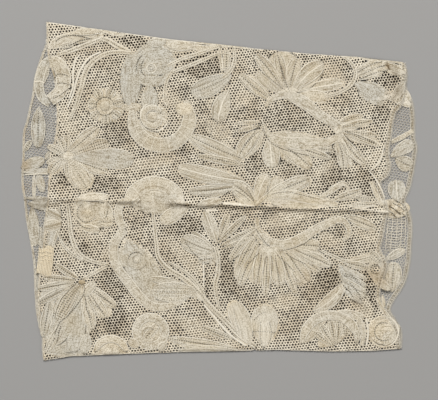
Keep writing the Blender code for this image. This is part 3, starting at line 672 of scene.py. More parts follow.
# Where the crease pinches the cloth into a small bright fold: from x to x, above the crest, half width
PINCHES = (
    (-75, -59, 1.2, 0.4), (-41, -34, 1, 0.75), (-22, -15.5, 0.9, 0.6), (-7.5, -0.8, -2.6, 0.8),
    (1.5, 18.5, 1, 0.95), (20, 31, 0.6, 0.4), (63, 81, 2.6, 0.4), (68, 80, 0.5, 0.5), (81, 88, 0.3, 0.7),
)
PINCH_STEP, PINCH_RISE, PINCH_UNEVEN, PINCH_WAVE, PINCH_TONE = 1.5, 0.45, 0.3, 2.1, 1.0
# The threads seen end on where the cloth turns over at a fold: from x to x, half width
TURNED_TOP = ((-89, -58, 0.3), (-52, -10, 0.3), (-4, 24, 0.22), (30, 60, 0.18), (62, 95.5, 0.3))
TURNED_BOTTOM = ((-90, -30, 0.2), (-26, 18, 0.25), (22, 93, 0.2))
TURNED_INWARD, TURNED_UNEVEN, TURNED_WAVE, TURNED_TONE = 0.3, 0.4, 1.3, 0.9


def stepped(from_x, to_x):
    """Places from one x to another, about a pinch's step apart."""
    count = round((to_x - from_x) / PINCH_STEP)
    return [from_x + (to_x - from_x) * k / count for k in range(count + 1)]


stems, tapes = new_cloth(), new_cloth()
folds = ((TOP_FOLD, -TURNED_INWARD, TURNED_TOP), (BOTTOM_FOLD, TURNED_INWARD, TURNED_BOTTOM))
for fold, above, turned in folds:
    for from_x, to_x, half_width in turned:
        line = [(x, read_table(fold, x) + above) for x in stepped(from_x, to_x)]
        widths = [half_width * (1.0 + TURNED_UNEVEN * math.sin(TURNED_WAVE * x)) for x, _ in line]
        add_sleeve(stems, line, closed_ends(widths), "cord", TURNED_TONE, BAND_RISE)
for from_x, to_x, above_crest, half_width in PINCHES:
    line = [(x, crest_line(x) + above_crest) for x in stepped(from_x, to_x)]
    widths = []
    for k in range(len(line)):
        fullness = math.sin(math.pi * k / (len(line) - 1)) ** 0.5
        widths.append(half_width * fullness * (1.0 + PINCH_UNEVEN * math.sin(PINCH_WAVE * k)))
    add_sleeve(stems, line, closed_ends(widths), "ground", PINCH_TONE, PINCH_RISE)
for style, *band in BANDS.values():
    add_band(stems if style in ("stem", "cord") else tapes, style, *band)
for tone, half_widths, lines in SEAMS:
    for points in lines:
        add_band(tapes, "seam", tone, points, half_widths)
finish_piece("stems", stems, "front", clothwork_linen, (
    "band_corner", "stem_long", "spray_stem_top", "stem_top_right", "stem_diagonal", "stem_vertical",
    "stem_left",
))
finish_piece("tapes", tapes, "front", clothwork_linen, (
    "cup_band", "arch_band", "calyx_band", "calyx_hook", "scroll_low", "crest_band", "scroll_left_top",
))

# The flowers and leaves of the upper layer
# Each petal is worked on its own in linen cloth stitch, with a rim cord, pinholes beside it and a
# vein, and the feet of a flower's petals meet. They are hooked to the net along their rims.
PETAL_STEP, PETAL_RISE, FEWEST_STEPS = 1.0, 0.24, 5
# A petal swells from its foot and rounds off at its tip by these powers, and its last step is cut
# short by this much of a step.
FOOT_POWER, TIP_POWER, TIP_CUT = 0.8, 0.9, 0.6


def add_petal(cloth, style, tone, foot_x, foot_y, tip_x, tip_y, half_width, widest=0.5, bow=0.0):
    """A petal from foot to tip, widest at this share of its length, bowed to its left at the middle."""
    length = math.hypot(tip_x - foot_x, tip_y - foot_y)
    count = max(FEWEST_STEPS, round(length / PETAL_STEP))
    line, widths = [], []
    for k in range(count + 1):
        t = min(k, count - TIP_CUT) / (count - TIP_CUT)
        side = bow * 4.0 * t * (1.0 - t)
        line.append((
            foot_x + (tip_x - foot_x) * t - (tip_y - foot_y) / length * side,
            foot_y + (tip_y - foot_y) * t + (tip_x - foot_x) / length * side,
        ))
        if t < widest:
            widths.append(half_width * math.sin(0.5 * math.pi * t / widest) ** FOOT_POWER)
        else:
            past = (t - widest) / (1.0 - widest)
            widths.append(half_width * math.sqrt(max(0.0, 1.0 - past ** 2)) ** TIP_POWER)
    add_sleeve(cloth, line, closed_ends(widths), style, tone, PETAL_RISE)


# Grounds: the close cloth stitch behind a flower: tone, foot x and y, tip x and y, half width
GROUNDS = (
    (0.85, -86.5, 77.5, -59.5, 82, 3.6), (0.75, -41, 74.5, -10, 75.5, 3.6),
    (0.8, -51.5, 43.5, -40, 43.5, 2.6), (0.2, -45.5, 73, -46, 44, 5.7), (0.25, -46, 67, -22.5, 67, 7.8),
    (0.3, -36, 55.5, -36, 40, 4.7), (0.9, -69, 44, -49, 44, 9.3), (0.9, -82.5, 17, -57.5, 23, 6.7),
    (0.95, -79, 18, -67, 1.5, 7.2), (0.75, -88.5, 9, -78, 17, 3.1), (0.7, -47, 37, -28.5, 23.5, 3.6),
    (0.65, -48, -5, -18, -5, 7.2), (0.8, 37, 49, 30.5, 72, 10.3), (0.8, 26, 48, 13, 59.5, 4.1),
    (0.75, 36.5, 51, 53, 63.5, 4.7), (0.85, 39.5, 50, 57.5, 48, 3.1), (0.8, 24, 29.5, 58.5, 23, 4.7),
    (0.85, 24, 27.5, 48, 12.5, 4.7), (0.75, 23, 31.5, 10.5, 17.5, 4.7), (0.85, 58.5, 31.5, 76, 36.5, 3.1),
    (0.85, 60.5, 31, 83, 25, 3.1), (0.8, 60.5, 30.5, 67.5, 12, 4.1), (0.75, 69.5, 60.5, 88, 66.5, 3.4),
    (0.8, 85, 63.5, 97, 62, 3.1), (0.7, 14, 16, -16, 27, 4.7), (0.6, 14, 5, -21.5, 11, 5.2),
    (0.8, 19.5, -7.5, 7.5, 3.5, 5.2), (0.8, 22, -5.5, 32.5, 7, 5.2), (0.75, 25, -3, 48, 6, 4.1),
    (0.8, 22, -4.5, 58.5, -5.5, 4.1), (0.9, -75.5, -11, -55.5, -11, 9.3), (0.5, -81.5, -16, -90, -17, 5.7),
    (0.4, -82.5, -7.5, -87.5, -30.5, 3.1), (0.75, -41.5, 39, -26.5, 39, 6.5),
    (0.45, -49, -24, -30.5, -57.5, 8.8), (0.6, -44, -54, -18, -55.5, 4.7),
    (0.6, -55.5, -31.5, -44, -36.5, 5.2), (0.7, -12, -52, -36, -51.5, 6.2),
    (0.75, -17, -24, -1, -36.5, 4.7), (0.9, -44, -73, -27, -73, 8.3), (1.3, -66.5, -84, -46, -84, 6.7),
    (0.55, -72, -48, -87.5, -79.5, 8.3), (0.85, -71, -48, -70, -75, 6.7),
    (0.9, -69, -47.5, -56.5, -65, 4.7), (0.5, -76, -48.5, -93, -56.5, 4.7),
    (0.45, -90.5, -83, -67, -81.5, 4.1), (0.35, -78, -65.5, -78, -83.5, 5.2),
    (0.85, 24, -27.5, 22, -48.5, 11.4), (0.85, 33.5, -28, 44.5, -48, 7.8), (0.85, 17, -24, 9.5, -46, 4.7),
    (0.8, 37.5, -28, 55, -37.5, 4.7), (0.85, 16, -18, 28.5, -29, 3.1), (1.1, 14.5, -80, 6.5, -56.5, 5.7),
    (1.1, 23.5, -81, 24, -58, 7.5), (0.2, 61.5, -37.5, 75, -55, 4.7), (0.7, 66.5, -35.5, 86, -34, 2.6),
    (0.9, 51, -80.5, 67.5, -65.5, 6.2), (0.8, 41.5, -79, 54, -65.5, 4.1),
    (1.3, 76.5, -72.5, 91.5, -72.5, 7.2), (0.9, 85, -80, 92.5, -68.5, 3.6),
    (0.85, -26.5, -77.5, 8.5, -81.5, 3.1),
)
# Petals: kind, tone, foot x and y, tip x and y, half width, then where widest and the bow where they
# are other than a half and none
PETALS = {
    "flower_left": (
        ("petal", 0.8, -79, 18, -89, 23.5, 2.1, 0.6, -0.5), ("petal", 0.9, -79.5, 20, -82.5, 28, 2.1, 0.6),
        ("petal", 0.9, -79, 20.5, -78.5, 29, 2.3, 0.6), ("petal", 0.8, -78, 19.5, -62.5, 33, 3.9, 0.62),
        ("dotted", 0.9, -77, 18.5, -57, 25.5, 3.6, 0.66, 0.5),
        ("plain", 0.35, -76, 17.5, -44, 16.5, 5.4, 0.68), ("petal", 0.9, -76, 16.5, -57.5, 10, 3.5, 0.66),
        ("ribbed", 1, -77.5, 16.5, -68.5, 2, 5.2, 0.6), ("petal", 0.9, -79, 16, -77.5, 7, 2.1, 0.6),
        ("petal", 0.8, -80.5, 17, -88, 9, 2.6, 0.6, -1), ("petal", 0.7, -81.5, 17.5, -89.5, 14.5, 1.6, 0.6),
    ),
    "corner_leaves": (
        ("plain", 0.9, -89, 73.5, -75, 80.5, 3.1, 0.5, 0.5),
        ("plain", 0.9, -77, 81.5, -61, 82.5, 2.1, 0.5, 0.5), ("petal", 0.8, -74, 76.5, -82.5, 74.5, 1.6),
        ("petal", 0.6, -78.5, 55.5, -85, 57.5, 2.3, 0.6), ("petal", 0.8, -79, 68, -84, 65, 2.6),
        ("petal", 0.8, -79, 51.5, -85, 48.5, 2.6), ("ground", 0.3, -44.5, 45, -42, 59, 3.1),
        ("plain", 0.4, -38, 76.5, -27.5, 77.5, 2.6), ("plain", 0.9, -28, 75.5, -13, 75, 2.8),
    ),
    "flower_upper": (
        ("petal", 0.8, 28, 46.5, 10.5, 60.5, 3.1, 0.62, 0.5), ("plain", 0.6, 32, 50.5, 19, 61.5, 3.4, 0.6),
        ("petal", 0.8, 33, 52, 18.5, 70.5, 3.4, 0.62, -1), ("petal", 0.7, 34.5, 52.5, 30, 71.5, 3.1, 0.62),
        ("petal", 0.8, 36.5, 52.5, 40.5, 69, 3.9, 0.62, 0.5),
        ("filled", 0.8, 39, 52, 54, 66, 4.7, 0.62, 1.6), ("filled", 0.9, 41.5, 51.5, 65, 56, 3.4, 0.6, 0.5),
        ("plain", 1, 41, 50.5, 56.5, 48, 3.4, 0.6),
    ),
    "crown_petals": (
        ("petal", 0.9, 21.5, 36, 8.5, 35, 1.4), ("petal", 0.9, 21.5, 34.5, 8, 31, 1.3, 0.5, 0.5),
        ("petal", 0.9, 22.5, 32, 10, 17.5, 4.1, 0.62, -1.6), ("vein", 0.7, 26, 27.5, 27.5, 12, 4.7, 0.55),
        ("petal", 0.9, 29.5, 25.5, 47.5, 12, 4.7, 0.62, 1), ("petal", 0.8, 39.5, 23, 58, 17, 2.3),
        ("petal", 0.8, 48, 22.5, 59.5, 21, 1.6),
    ),
    "spray_upper_right": (
        ("petal", 1, 60.5, 34.5, 74.5, 39, 1.9, 0.6, 1), ("petal", 1, 61.5, 33, 79.5, 36.5, 2, 0.6),
        ("petal", 1, 62.5, 31.5, 82, 29, 1.6, 0.6), ("petal", 1, 64, 31, 83, 23.5, 1.9, 0.6),
        ("petal", 0.9, 62.5, 30, 75.5, 14, 2.7, 0.65, -1),
        ("petal", 0.8, 59.5, 28.5, 64, 11.5, 3.1, 0.65, 1.6), ("petal", 0.9, 61, 29, 67.5, 17, 1.6, 0.6),
    ),
    "top_right": (
        ("ground", 0.3, 69.5, 56, 88.5, 48.5, 4.1), ("ground", 0.25, 71.5, 51.5, 85, 45, 2.6),
        ("plain", 0.9, 96, 61.5, 86, 65.5, 2.3), ("petal", 0.7, 93, 46.5, 85, 50.5, 2.1),
        ("plain", 0.6, 95.5, 56.5, 89, 47.5, 2.6, 0.5, 0.5), ("petal", 0.8, 95.5, 51.5, 91.5, 45, 1.6),
        ("plain", 0.7, 72.5, 69.5, 86.5, 68, 1.8), ("plain", 0.75, 70, 62.5, 81.5, 68, 1.3, 0.6),
        ("plain", 0.75, 70.5, 61, 86, 67, 1.4, 0.6), ("plain", 0.75, 71, 59.5, 88, 64, 1.4, 0.6),
        ("plain", 0.7, 71.5, 57.5, 85, 61.5, 1.4, 0.6), ("petal", 0.8, 4, 74.5, 3.5, 61, 2.3),
    ),
    "leaves_middle": (
        ("ribbed", 0.35, 6.5, 60.5, -14.5, 51, 5.4, 0.62, 1),
        ("vein", 0.6, 5, 52.5, -0.5, 36, 4.7, 0.6, -1), ("petal", 0.7, 14, 16, -15, 28.5, 3.9, 0.6, 0.5),
        ("petal", 0.8, 13.5, 13.5, -11.5, 18.5, 2.2), ("vein", 0.6, 13, 5.5, -21.5, 12.5, 4.4, 0.62, 1),
        ("petal", 0.6, 10.5, 2.5, -16, 0, 2.8, 0.6, 0.5), ("plain", 0.8, -16, -8, -30.5, -16, 4.1, 0.6),
        ("plain", 0.7, -12, -7.5, 1.5, -4.5, 2.6), ("petal", 0.8, 5, 0.5, -7, -3, 1.9),
    ),
    "flower_centre": (
        ("petal", 0.8, 19, -7, 7, 3.5, 4.5, 0.65, -1), ("vein", 0.8, 19.5, -6.5, 25, 9, 3.9, 0.65, 1),
        ("petal", 0.7, 26, -2.5, 47, 6.5, 4, 0.6, 0.5), ("petal", 0.8, 22, -4.5, 35, 4.5, 2.3, 0.6),
        ("petal", 0.9, 57.5, -5, 74, 0.5, 2.4, 0.6), ("petal", 0.9, 66.5, -7.5, 81.5, -6.5, 1.8),
        ("petal", 0.8, 65.5, -13, 81.5, -19.5, 3.1), ("petal", 0.8, 68.5, -2.5, 78.5, -4, 1.6),
        ("petal", 0.7, 56, 1, 64, 3, 1.6),
    ),
    "flower_lower": (
        ("petal", 0.9, 19.5, -19, 5.5, -36, 2.1, 0.6, -1),
        ("petal", 0.9, 20, -21.5, 10, -39.5, 2.4, 0.62, -0.5),
        ("petal", 0.9, 21, -24, 10.5, -49, 3.1, 0.66, -0.5),
        ("petal", 0.9, 23, -26, 19.5, -47.5, 3.6, 0.66), ("petal", 1, 25, -28, 24, -54, 2.4, 0.62),
        ("petal", 0.9, 28, -28.5, 31.5, -49, 4.1, 0.68), ("petal", 1, 30.5, -29, 39.5, -53, 2.6, 0.64),
        ("petal", 0.9, 33, -29, 46, -47.5, 4.4, 0.68), ("petal", 0.9, 36.5, -29, 58, -38.5, 3.1, 0.64),
        ("petal", 0.8, 36.5, -27, 52, -28.5, 4.1, 0.62), ("petal", 0.9, 35, -29.5, 52.5, -41.5, 2.6, 0.66),
    ),
    "stalk_leaves": (
        ("petal", 0.8, -1, -27, 14, -12.5, 2), ("petal", 0.8, 0, -28.5, 19.5, -18.5, 1.6),
        ("petal", 0.8, 0.5, -30, 18.5, -23.5, 1.3),
        ("ribbed", 0.6, -2.5, -31, -19.5, -24.5, 4.9, 0.62, 0.5),
        ("petal", 0.7, -2.5, -34.5, -11, -35.5, 2.4, 0.6), ("petal", 0.7, -2, -30.5, -14, -21, 2.1, 0.6),
        ("vein", 0.7, -1, -27, -7.5, -10.5, 3.6, 0.6), ("petal", 0.8, 0, -25, 4.5, -12, 2.6, 0.6),
    ),
    "flower_low_left": (
        ("petal", 0.8, -73, -45, -84.5, -37.5, 1.9, 0.5, 0.5),
        ("petal", 0.8, -74, -46, -91, -44.5, 2, 0.55), ("petal", 0.7, -74.5, -47, -94, -50.5, 2.2, 0.6),
        ("petal", 0.6, -75, -48, -93.5, -57.5, 2.4, 0.6),
        ("ground", 0.75, -73, -48, -86.5, -70.5, 7.8, 0.56, -1.6),
        ("dotted", 0.85, -72, -48.5, -83.5, -67, 4.1, 0.56, -1),
        ("ground", 0.45, -72, -56, -76, -83, 4.7, 0.7, 1),
        ("petal", 1, -71, -48.5, -65.5, -71.5, 3.4, 0.68), ("petal", 1, -70, -48, -58.5, -65.5, 3.3, 0.68),
        ("petal", 1, -69, -47, -53.5, -60, 2.6, 0.68), ("petal", 0.7, -79, -65.5, -89.5, -84, 2.8, 0.55),
        ("petal", 0.5, -87.5, -56, -91, -75.5, 3.1), ("plain", 0.6, -68, -73, -70, -84, 3.1),
        ("petal", 0.6, -84, -59.5, -88.5, -71.5, 2.3), ("plain", 0.8, -64, -46.5, -70, -54, 2.6),
    ),
    "small_left": (
        ("plain", 0.6, -81, -16.5, -90.5, -18.5, 3.4, 0.6),
        ("plain", 0.55, -81.5, -13.5, -89, -10.5, 2.6, 0.6),
        ("petal", 0.9, -62.5, -16, -54.5, -15.5, 3.4, 0.55), ("plain", 0.8, -73, -18, -61.5, -20.5, 2.3),
        ("plain", 0.9, -74, -3.5, -56.5, -2.5, 2.3), ("plain", 0.85, -60.5, -4.5, -56.5, -16, 3.6),
    ),
    "rosette_lobes": (
        ("petal", 0.65, -55, 45, -49.5, 46.5, 2.5, 0.6), ("petal", 0.65, -57.5, 48, -55, 53, 2.8, 0.6),
        ("petal", 0.65, -61, 47.5, -63.5, 52.5, 2.5, 0.6), ("petal", 0.65, -63, 45, -68, 45.5, 2.8, 0.6),
        ("petal", 0.65, -62, 41.5, -66, 37.5, 2.5, 0.6), ("petal", 0.65, -58.5, 40, -58.5, 34.5, 2.8, 0.6),
        ("petal", 0.65, -55.5, 41.5, -51.5, 38, 2.5, 0.6),
    ),
    "leaf_big": (
        ("ribbed", 0.7, -11, -51.5, -35, -51.5, 5.4, 0.55, 0.5), ("plain", 0.5, -21.5, -47, -36, -45, 2.1),
    ),
    "domes": (
        ("plain", 0.8, 16, -80, 7, -57.5, 5.4, 0.66, -0.5), ("plain", 0.8, 23, -81, 23.5, -59, 7, 0.64),
        ("vein", 0.7, 23, -81, 23, -67.5, 2.6, 0.6), ("petal", 0.9, 9.5, -81.5, -26.5, -76, 2.6),
        ("petal", 0.8, 7.5, -76.5, -10, -70, 2.1), ("petal", 0.9, -39.5, -77.5, -31, -68, 2.4),
        ("plain", 0.8, 10.5, -82.5, -19.5, -80, 1.8), ("plain", 0.8, -41, -80.5, -47, -77, 2.6),
        ("plain", 0.8, -27, -77.5, -31.5, -82.5, 2.3),
    ),
    "spray_right": (
        ("petal", 0.7, 63.5, -36.5, 77, -39.5, 2.2, 0.6), ("plain", 0.45, 63.5, -39, 76.5, -45.5, 1.3, 0.6),
        ("plain", 0.35, 63.5, -41.5, 76.5, -49, 1.3, 0.6), ("plain", 0.45, 63, -44.5, 76, -52, 1.3, 0.6),
        ("plain", 0.3, 62.5, -47, 75, -55, 1.3, 0.6), ("plain", 0.3, 62, -49.5, 74, -58, 1.3, 0.6),
        ("plain", 1, 84, -53, 85.5, -60, 1), ("vein", 0.8, 48, -62, 64, -48, 3.6, 0.5, -2.1),
        ("plain", 0.7, 59.5, -62.5, 75, -65, 2.6), ("ground", 0.7, 78, -43, 88.5, -51, 2.6),
        ("petal", 0.7, 77.5, -30.5, 83.5, -36.5, 2.1),
    ),
    "lens_petals": (
        ("petal", 0.9, 58, -79.5, 49, -72.5, 2.1, 0.6), ("petal", 0.9, 59, -79.5, 52.5, -69, 2.3, 0.6),
        ("petal", 0.9, 60, -79, 57.5, -66.5, 2.2, 0.6), ("petal", 0.9, 61, -79, 62, -66, 2.1, 0.6),
        ("petal", 0.8, 71, -79.5, 72.5, -65.5, 2.1), ("dotted", 1, 65.5, -75, 66.5, -63, 4.1),
    ),
}
LEAF_GROUPS = (
    "corner_leaves", "top_right", "leaves_middle", "stalk_leaves", "leaf_big", "domes", "small_left",
)
petals, leaves = new_cloth(), new_cloth()
for row in GROUNDS:
    add_petal(petals, "ground", *row)
for group, rows in PETALS.items():
    for row in rows:
        add_petal(leaves if group in LEAF_GROUPS else petals, *row)
finish_piece("petals", petals, "front", clothwork_linen, (
    "flower_upper", "spray_upper_right", "flower_centre", "scroll_centre", "flower_lower", "spray_right",
    "flower_left", "flower_low_left", "petal_curl_left", "petal_low_mid", "petal_low_right",
))
finish_piece("leaves", leaves, "front", clothwork_linen, (
    "leaf_grey_top", "leaf_veined", "leaf_midrib", "leaf_rib_low", "leaf_long_upper", "leaf_long_lower",
    "leaf_lobed", "leaf_big_low", "petal_dome_left", "petal_dome_right", "leaf_low_long",
))

# The scrolls and rosettes of the upper layer
# Round work in the same linen: a tape turned into a ring or part of one, crossed by short bars, with
# a small raised eye of close stitches in the middle of some.
RING_STEP = 1.2
# An arc's ends start at this share of its width and widen this quickly.
ARC_END, ARC_WIDENING = 0.45, 3.0


def add_ring(cloth, style, tone, x, y, radius, half_width, start=0, sweep=360):
    """A ring or an arc of tape, read from its start bearing round its sweep, in degrees."""
    barred = style == "barred"
    count = round(math.radians(sweep) * radius / (BARRED_STEP if barred else RING_STEP))
    line, widths = [], []
    for k in range(count + 1):
        bearing = math.radians(start + sweep * k / count)
        line.append((x + radius * math.cos(bearing), y + radius * math.sin(bearing)))
        to_end = min(k, count - k) / count
        widths.append(half_width * (1.0 if sweep == 360 else min(1.0, ARC_END + ARC_WIDENING * to_end)))
    if sweep < 360:
        widths = closed_ends(widths)
    kind, bars = ("plain", BAR_PITCH) if barred else (style, 0.0)
    add_sleeve(cloth, line, widths, kind, tone, BAND_RISE, bars)


# Rings: kind, tone, middle x and y, radius, half width of the tape, and an arc's start and sweep
RINGS = {
    "rosette_left": ("seam", 0.6, -59, 44, 4.7, 0.2, 20, 320),
    "rosette_top": ("ground", 0.3, -34.5, 65, 8.3, 3.1),
    "rosette_top_inner": ("ground", 0.45, -35, 64, 3.6, 2.1),
    "rosette_arc_outer": ("seam", 0.4, -34.5, 64, 8.3, 0.2, 125, 70),
    "rosette_arc_inner": ("seam", 0.4, -35, 64, 5.4, 0.2, 130, 110),
    "rosette_arc_eye": ("cord", 0.4, -35, 63.5, 2.4, 0.3),
    "scroll_large": ("barred", 0.6, -30, 38.5, 14.7, 3.9, 165, 230),
    "scroll_large_cord": ("cord", 0.6, -33.5, 38.5, 7.5, 0.5, 110, 230),
    "scroll_large_inner": ("plain", 0.8, -34.5, 38.5, 4.8, 1.6, 20, 330),
    "scroll_middle": ("barred", 0.8, -33.5, -10, 14.2, 3.7, 8, 164),
    "scroll_middle_cord": ("cord", 0.6, -33.5, -10, 9.6, 0.4, 14, 150),
    "rosette_low": ("ground", 0.5, -42.5, -35.5, 3.6, 1.6),
    "rosette_low_arc": ("seam", 0.4, -43, -35.5, 4.1, 0.2, 30, 150),
    "rose_outer": ("ground", 0.9, -66, -9.5, 7.2, 2.1),
    "rose_inner": ("plain", 0.85, -68.5, -11, 4.4, 0.8),
    "rose_arc": ("seam", 0.5, -63.5, -10.5, 5.7, 0.2, -40, 110),
    "rose_arc_inner": ("seam", 0.5, -68.5, -11, 4.9, 0.2, 30, 300),
    "rose_arc_low": ("seam", 0.5, -67, -12, 7.2, 0.2, 200, 80),
    "ring_bottom": ("barred", 0.8, -35.5, -72.5, 7.5, 2.3),
    "ring_bottom_inner": ("plain", 0.8, -36.5, -74, 3.6, 1, 40, 290),
    "dome_bottom": ("plain", 1.2, -56, -84.5, 8.3, 2.1, 8, 164),
    "lens_ring": ("barred", 0.8, 57.5, -78.5, 14.5, 2.6, 6, 176),
    "rosette_crumpled": ("ground", 0.6, 81, -40, 3.1, 1.6),
    "rosette_crumpled_arc": ("seam", 0.5, 80.5, -40, 2.3, 0.3, 0, 300),
    "ring_corner": ("ground", 1.25, 85, -72.5, 6.2, 2.3),
    "ring_corner_rim": ("cord", 1, 84.5, -72.5, 8.1, 0.4, -75, 170),
    "ring_corner_arc": ("seam", 0.5, 85, -72.5, 4.7, 0.2, 60, 250),
}
# Eyes: tone, middle x and y, radius along x and y
EYES = {
    "rosette_left_eye": (0.6, -59, 44, 2.6, 2.6), "rosette_top_eye": (0.3, -35, 63.5, 0.8, 0.7),
    "scroll_eye": (0.9, -34.5, 38.5, 2.6, 2.6), "scroll_end": (0.9, -18, 42.5, 4.7, 3.6),
    "rosette_low_eye": (0.5, -42.5, -35.5, 1.9, 1.6), "rose_eye": (0.85, -68.5, -11, 3.1, 2.6),
    "dome_bottom_eye": (1, -56, -84, 4.7, 3.6), "foot_left": (0.9, -78, 18, 3.1, 2.6),
    "foot_upper": (0.8, 36.5, 52, 4.7, 1.8), "foot_low_left": (1.2, -71, -47, 1.9, 1.3),
    "foot_lower": (0.8, 27.5, -31, 6.7, 3.1), "foot_spray": (0.9, 61.5, 32, 2.6, 2.6),
}
EYE_LIFT, EYE_HEIGHT, EYE_FOOT = 0.1, 0.4, -0.25
EYE_SIDES, EYE_ROWS = 20, 8
scrolls, eyes = new_cloth(), new_cloth()
for ring in RINGS.values():
    add_ring(scrolls, *ring)
for tone, x, y, reach_x, reach_y in EYES.values():
    shape = Matrix.Translation((x, y, EYE_LIFT)) @ Matrix.Diagonal((reach_x, reach_y, EYE_HEIGHT, 1.0))
    sides = {"u_segments": EYE_SIDES, "v_segments": EYE_ROWS}
    for corner in bmesh.ops.create_uvsphere(eyes, radius=1.0, matrix=shape, **sides)["verts"]:
        corner[eyes.verts.layers.float["tone"]] = tone
        corner.co.z = max(corner.co.z, EYE_FOOT)
        for face in corner.link_faces:
            face.smooth = True
finish_piece("scrolls", scrolls, "front", clothwork_linen, (
    "rosette_top", "scroll_large", "scroll_middle", "ring_bottom", "scroll_corner", "ring_corner",
    "rosette_fine", "rose_left", "rosette_low", "dome_bottom",
))
finish_piece("rosette_eyes", eyes, "front", clothwork_linen, ("eye_large", "eye_corner"))

# The clothwork of the lower layer
# The same work on the cloth that lies underneath. It shows past both ends of the upper layer, where
# it looks greyer, and as darker shapes through the upper layer's net.
UNDER_PETALS = (
    ("petal", 0.2, -88.5, 68, -94.5, 53.5, 3.1), ("petal", 0.2, -93.5, 44, -94, 22.5, 3.9),
    ("petal", 0.3, -97, 27, -101, 21, 1.6), ("ground", 0.3, -103, 12, -90.5, 16.5, 3.4),
    ("ground", 0.3, -103, 10, -82.5, 10.5, 1.8), ("plain", 0.5, -96, 10, -96, -4.5, 1.1),
    ("ground", 0.3, -94, 10, -91.5, -0.5, 2.4), ("ground", 0.3, -90.5, 16, -86.5, 21.5, 1.6),
    ("ground", 0.3, -101, -3.5, -85.5, -4, 1.2), ("petal", 0.2, -92.5, -36.5, -94.5, -52, 1.3),
    ("petal", 0.2, -92, -56, -93, -71.5, 1.2), ("plain", 0.45, 88.5, 17.5, 100.5, 25, 3.6, 0.75, 0.5),
    ("petal", 0.5, 91, 17, 100, 12.5, 4.1, 0.6), ("vein", 0.4, 92.5, -6, 91.5, 6, 4.7, 0.6),
    ("ground", 1.2, 81.5, -7.5, 99, -9, 4.4), ("ground", 1, 85, -12, 97.5, -11, 2.6),
    ("vein", 0.4, 86, -35.5, 96.5, -30, 2.4, 0.55), ("petal", 0.7, 89.5, -52.5, 90.5, -36.5, 4.7, 0.6),
    ("plain", 0.9, 93.5, 53.5, 99, 47, 2.3), ("plain", 0.8, 91.5, 48.5, 99.5, 44, 2.1),
    ("ground", 0.3, -99.5, -6.5, -82.5, -7.5, 3.1), ("ground", 0.3, -97, -7.5, -95.5, -28.5, 3.1),
    ("ground", 0.35, -86, -7.5, -89.5, -30.5, 3.9), ("ground", 0.3, -96, -17, -89.5, -29.5, 3.6),
)
# Seen only through the upper layer's net: foot x and y, tip x and y, half width, where widest
UNDER_GROUNDS = (
    (-8, 38, 6.5, 25.5, 5.2, 0.55), (8.5, 42, 22, 61.5, 4.7), (-40, 54.5, -31.5, 41, 4.7),
    (-51.5, 12, -22.5, 16, 3.6), (-27.5, -24, -8, -43.5, 4.1), (-22.5, -64.5, -2.5, -77, 5.2, 0.55),
    (51, 67, 65.5, 55.5, 4.7), (22, -18, 50, -8.5, 5.2), (51, -21, 62.5, -28.5, 3.6),
    (64.5, -41.5, 79, -67.5, 5.2), (24, -58.5, 41.5, -56, 4.7), (-82.5, 45, -74, 27.5, 4.1),
    (-83.5, 80.5, -72, 72, 3.6), (51, 45, 64.5, 33.5, 4.7), (-10, 22.5, 6.5, 10, 4.1),
    (-84.5, -25, -72, -36.5, 3.6), (67.5, -13, 82, -26, 4.7), (-47, -24, -36, -54, 4.1),
    (70.5, 12, 85, 21.5, 3.1), (23, 12, 31.5, 16, 3.6), (-61.5, -36.5, -52.5, -25, 3.1),
    (-7, 49, 0.5, 41, 3.6), (48, 8, 60.5, 16, 3.1),
)
COVERED_TONE = 0.5
# Kind, tone, half widths and lines: dark strokes of pinholes, painted shade between the crumpled cloth's
# folds, the long and the short threads of a ladder, and tapes
UNDER_BANDS = (
    ("seam", 0.5, (0.2, 0.2, 0.2), (
        ((88, -7.5), (91, -9.5), (94, -12)), ((90, -6), (93, -7.5), (96, -10)),
        ((86.5, -9.5), (89.5, -11), (91.5, -13.5)), ((92, -5), (94, -6), (96, -7.5)),
        ((94.5, -11), (96, -12.5), (97, -14)),
    )),
    ("cord", 0.9, (0.1, 0.2, 0.1), (
        ((88, -12), (87, -21), (86, -32)), ((90, -12), (89.5, -21), (88.5, -31.5)),
        ((92.5, -11), (92, -21), (91, -31)), ((94.5, -10.5), (94.5, -21), (93.5, -30)),
        ((96.5, -10.5), (96.5, -20), (96, -29)),
    )),
    ("cord", 0.85, (0.1, 0.2, 0.1), (
        ((87, -13), (92, -13), (96.5, -12.5)), ((87, -14), (92, -14.5), (96.5, -14)),
        ((87, -15.5), (91.5, -15.5), (96.5, -15.5)), ((87, -17), (91.5, -17), (96.5, -16.5)),
        ((87, -18), (91.5, -18.5), (96.5, -18)), ((87, -19.5), (91.5, -19.5), (96.5, -19.5)),
        ((87, -21), (91.5, -21), (96, -20.5)), ((86.5, -22), (91.5, -22.5), (96, -22)),
        ((86.5, -23.5), (91.5, -24), (96, -23.5)), ((86.5, -25), (91, -25), (96, -24.5)),
        ((86.5, -26), (91, -26.5), (96, -26)), ((86.5, -27.5), (91, -28), (96, -27.5)),
        ((86.5, -29), (91, -29), (96, -28.5)), ((86.5, -30.5), (91, -30.5), (96, -30)),
    )),
    ("plain", 0.8, (1, 1.4, 1), (((89, 25.5), (94.5, 28), (100.5, 31.5)),)),
    ("plain", 0.2, (2.1, 2.6, 2.3), (((-86, 68.5), (-90, 66.5), (-92.5, 61.5), (-93.5, 55.5), (-92, 49),
        (-87.5, 45.5)),)),
    ("cord", 0.7, (0.3, 0.3, 0.3), (((-101, 8.5), (-91.5, 9), (-82.5, 8.5)),)),
    ("cord", 0.8, (0.3, 0.4, 0.3), (((-96, 56.5), (-93, 57), (-90.5, 56)),)),
    ("plain", 0.3, (0.7, 1, 0.7), (((89.5, 41), (88.5, 33.5), (86, 26.5)),)),
)
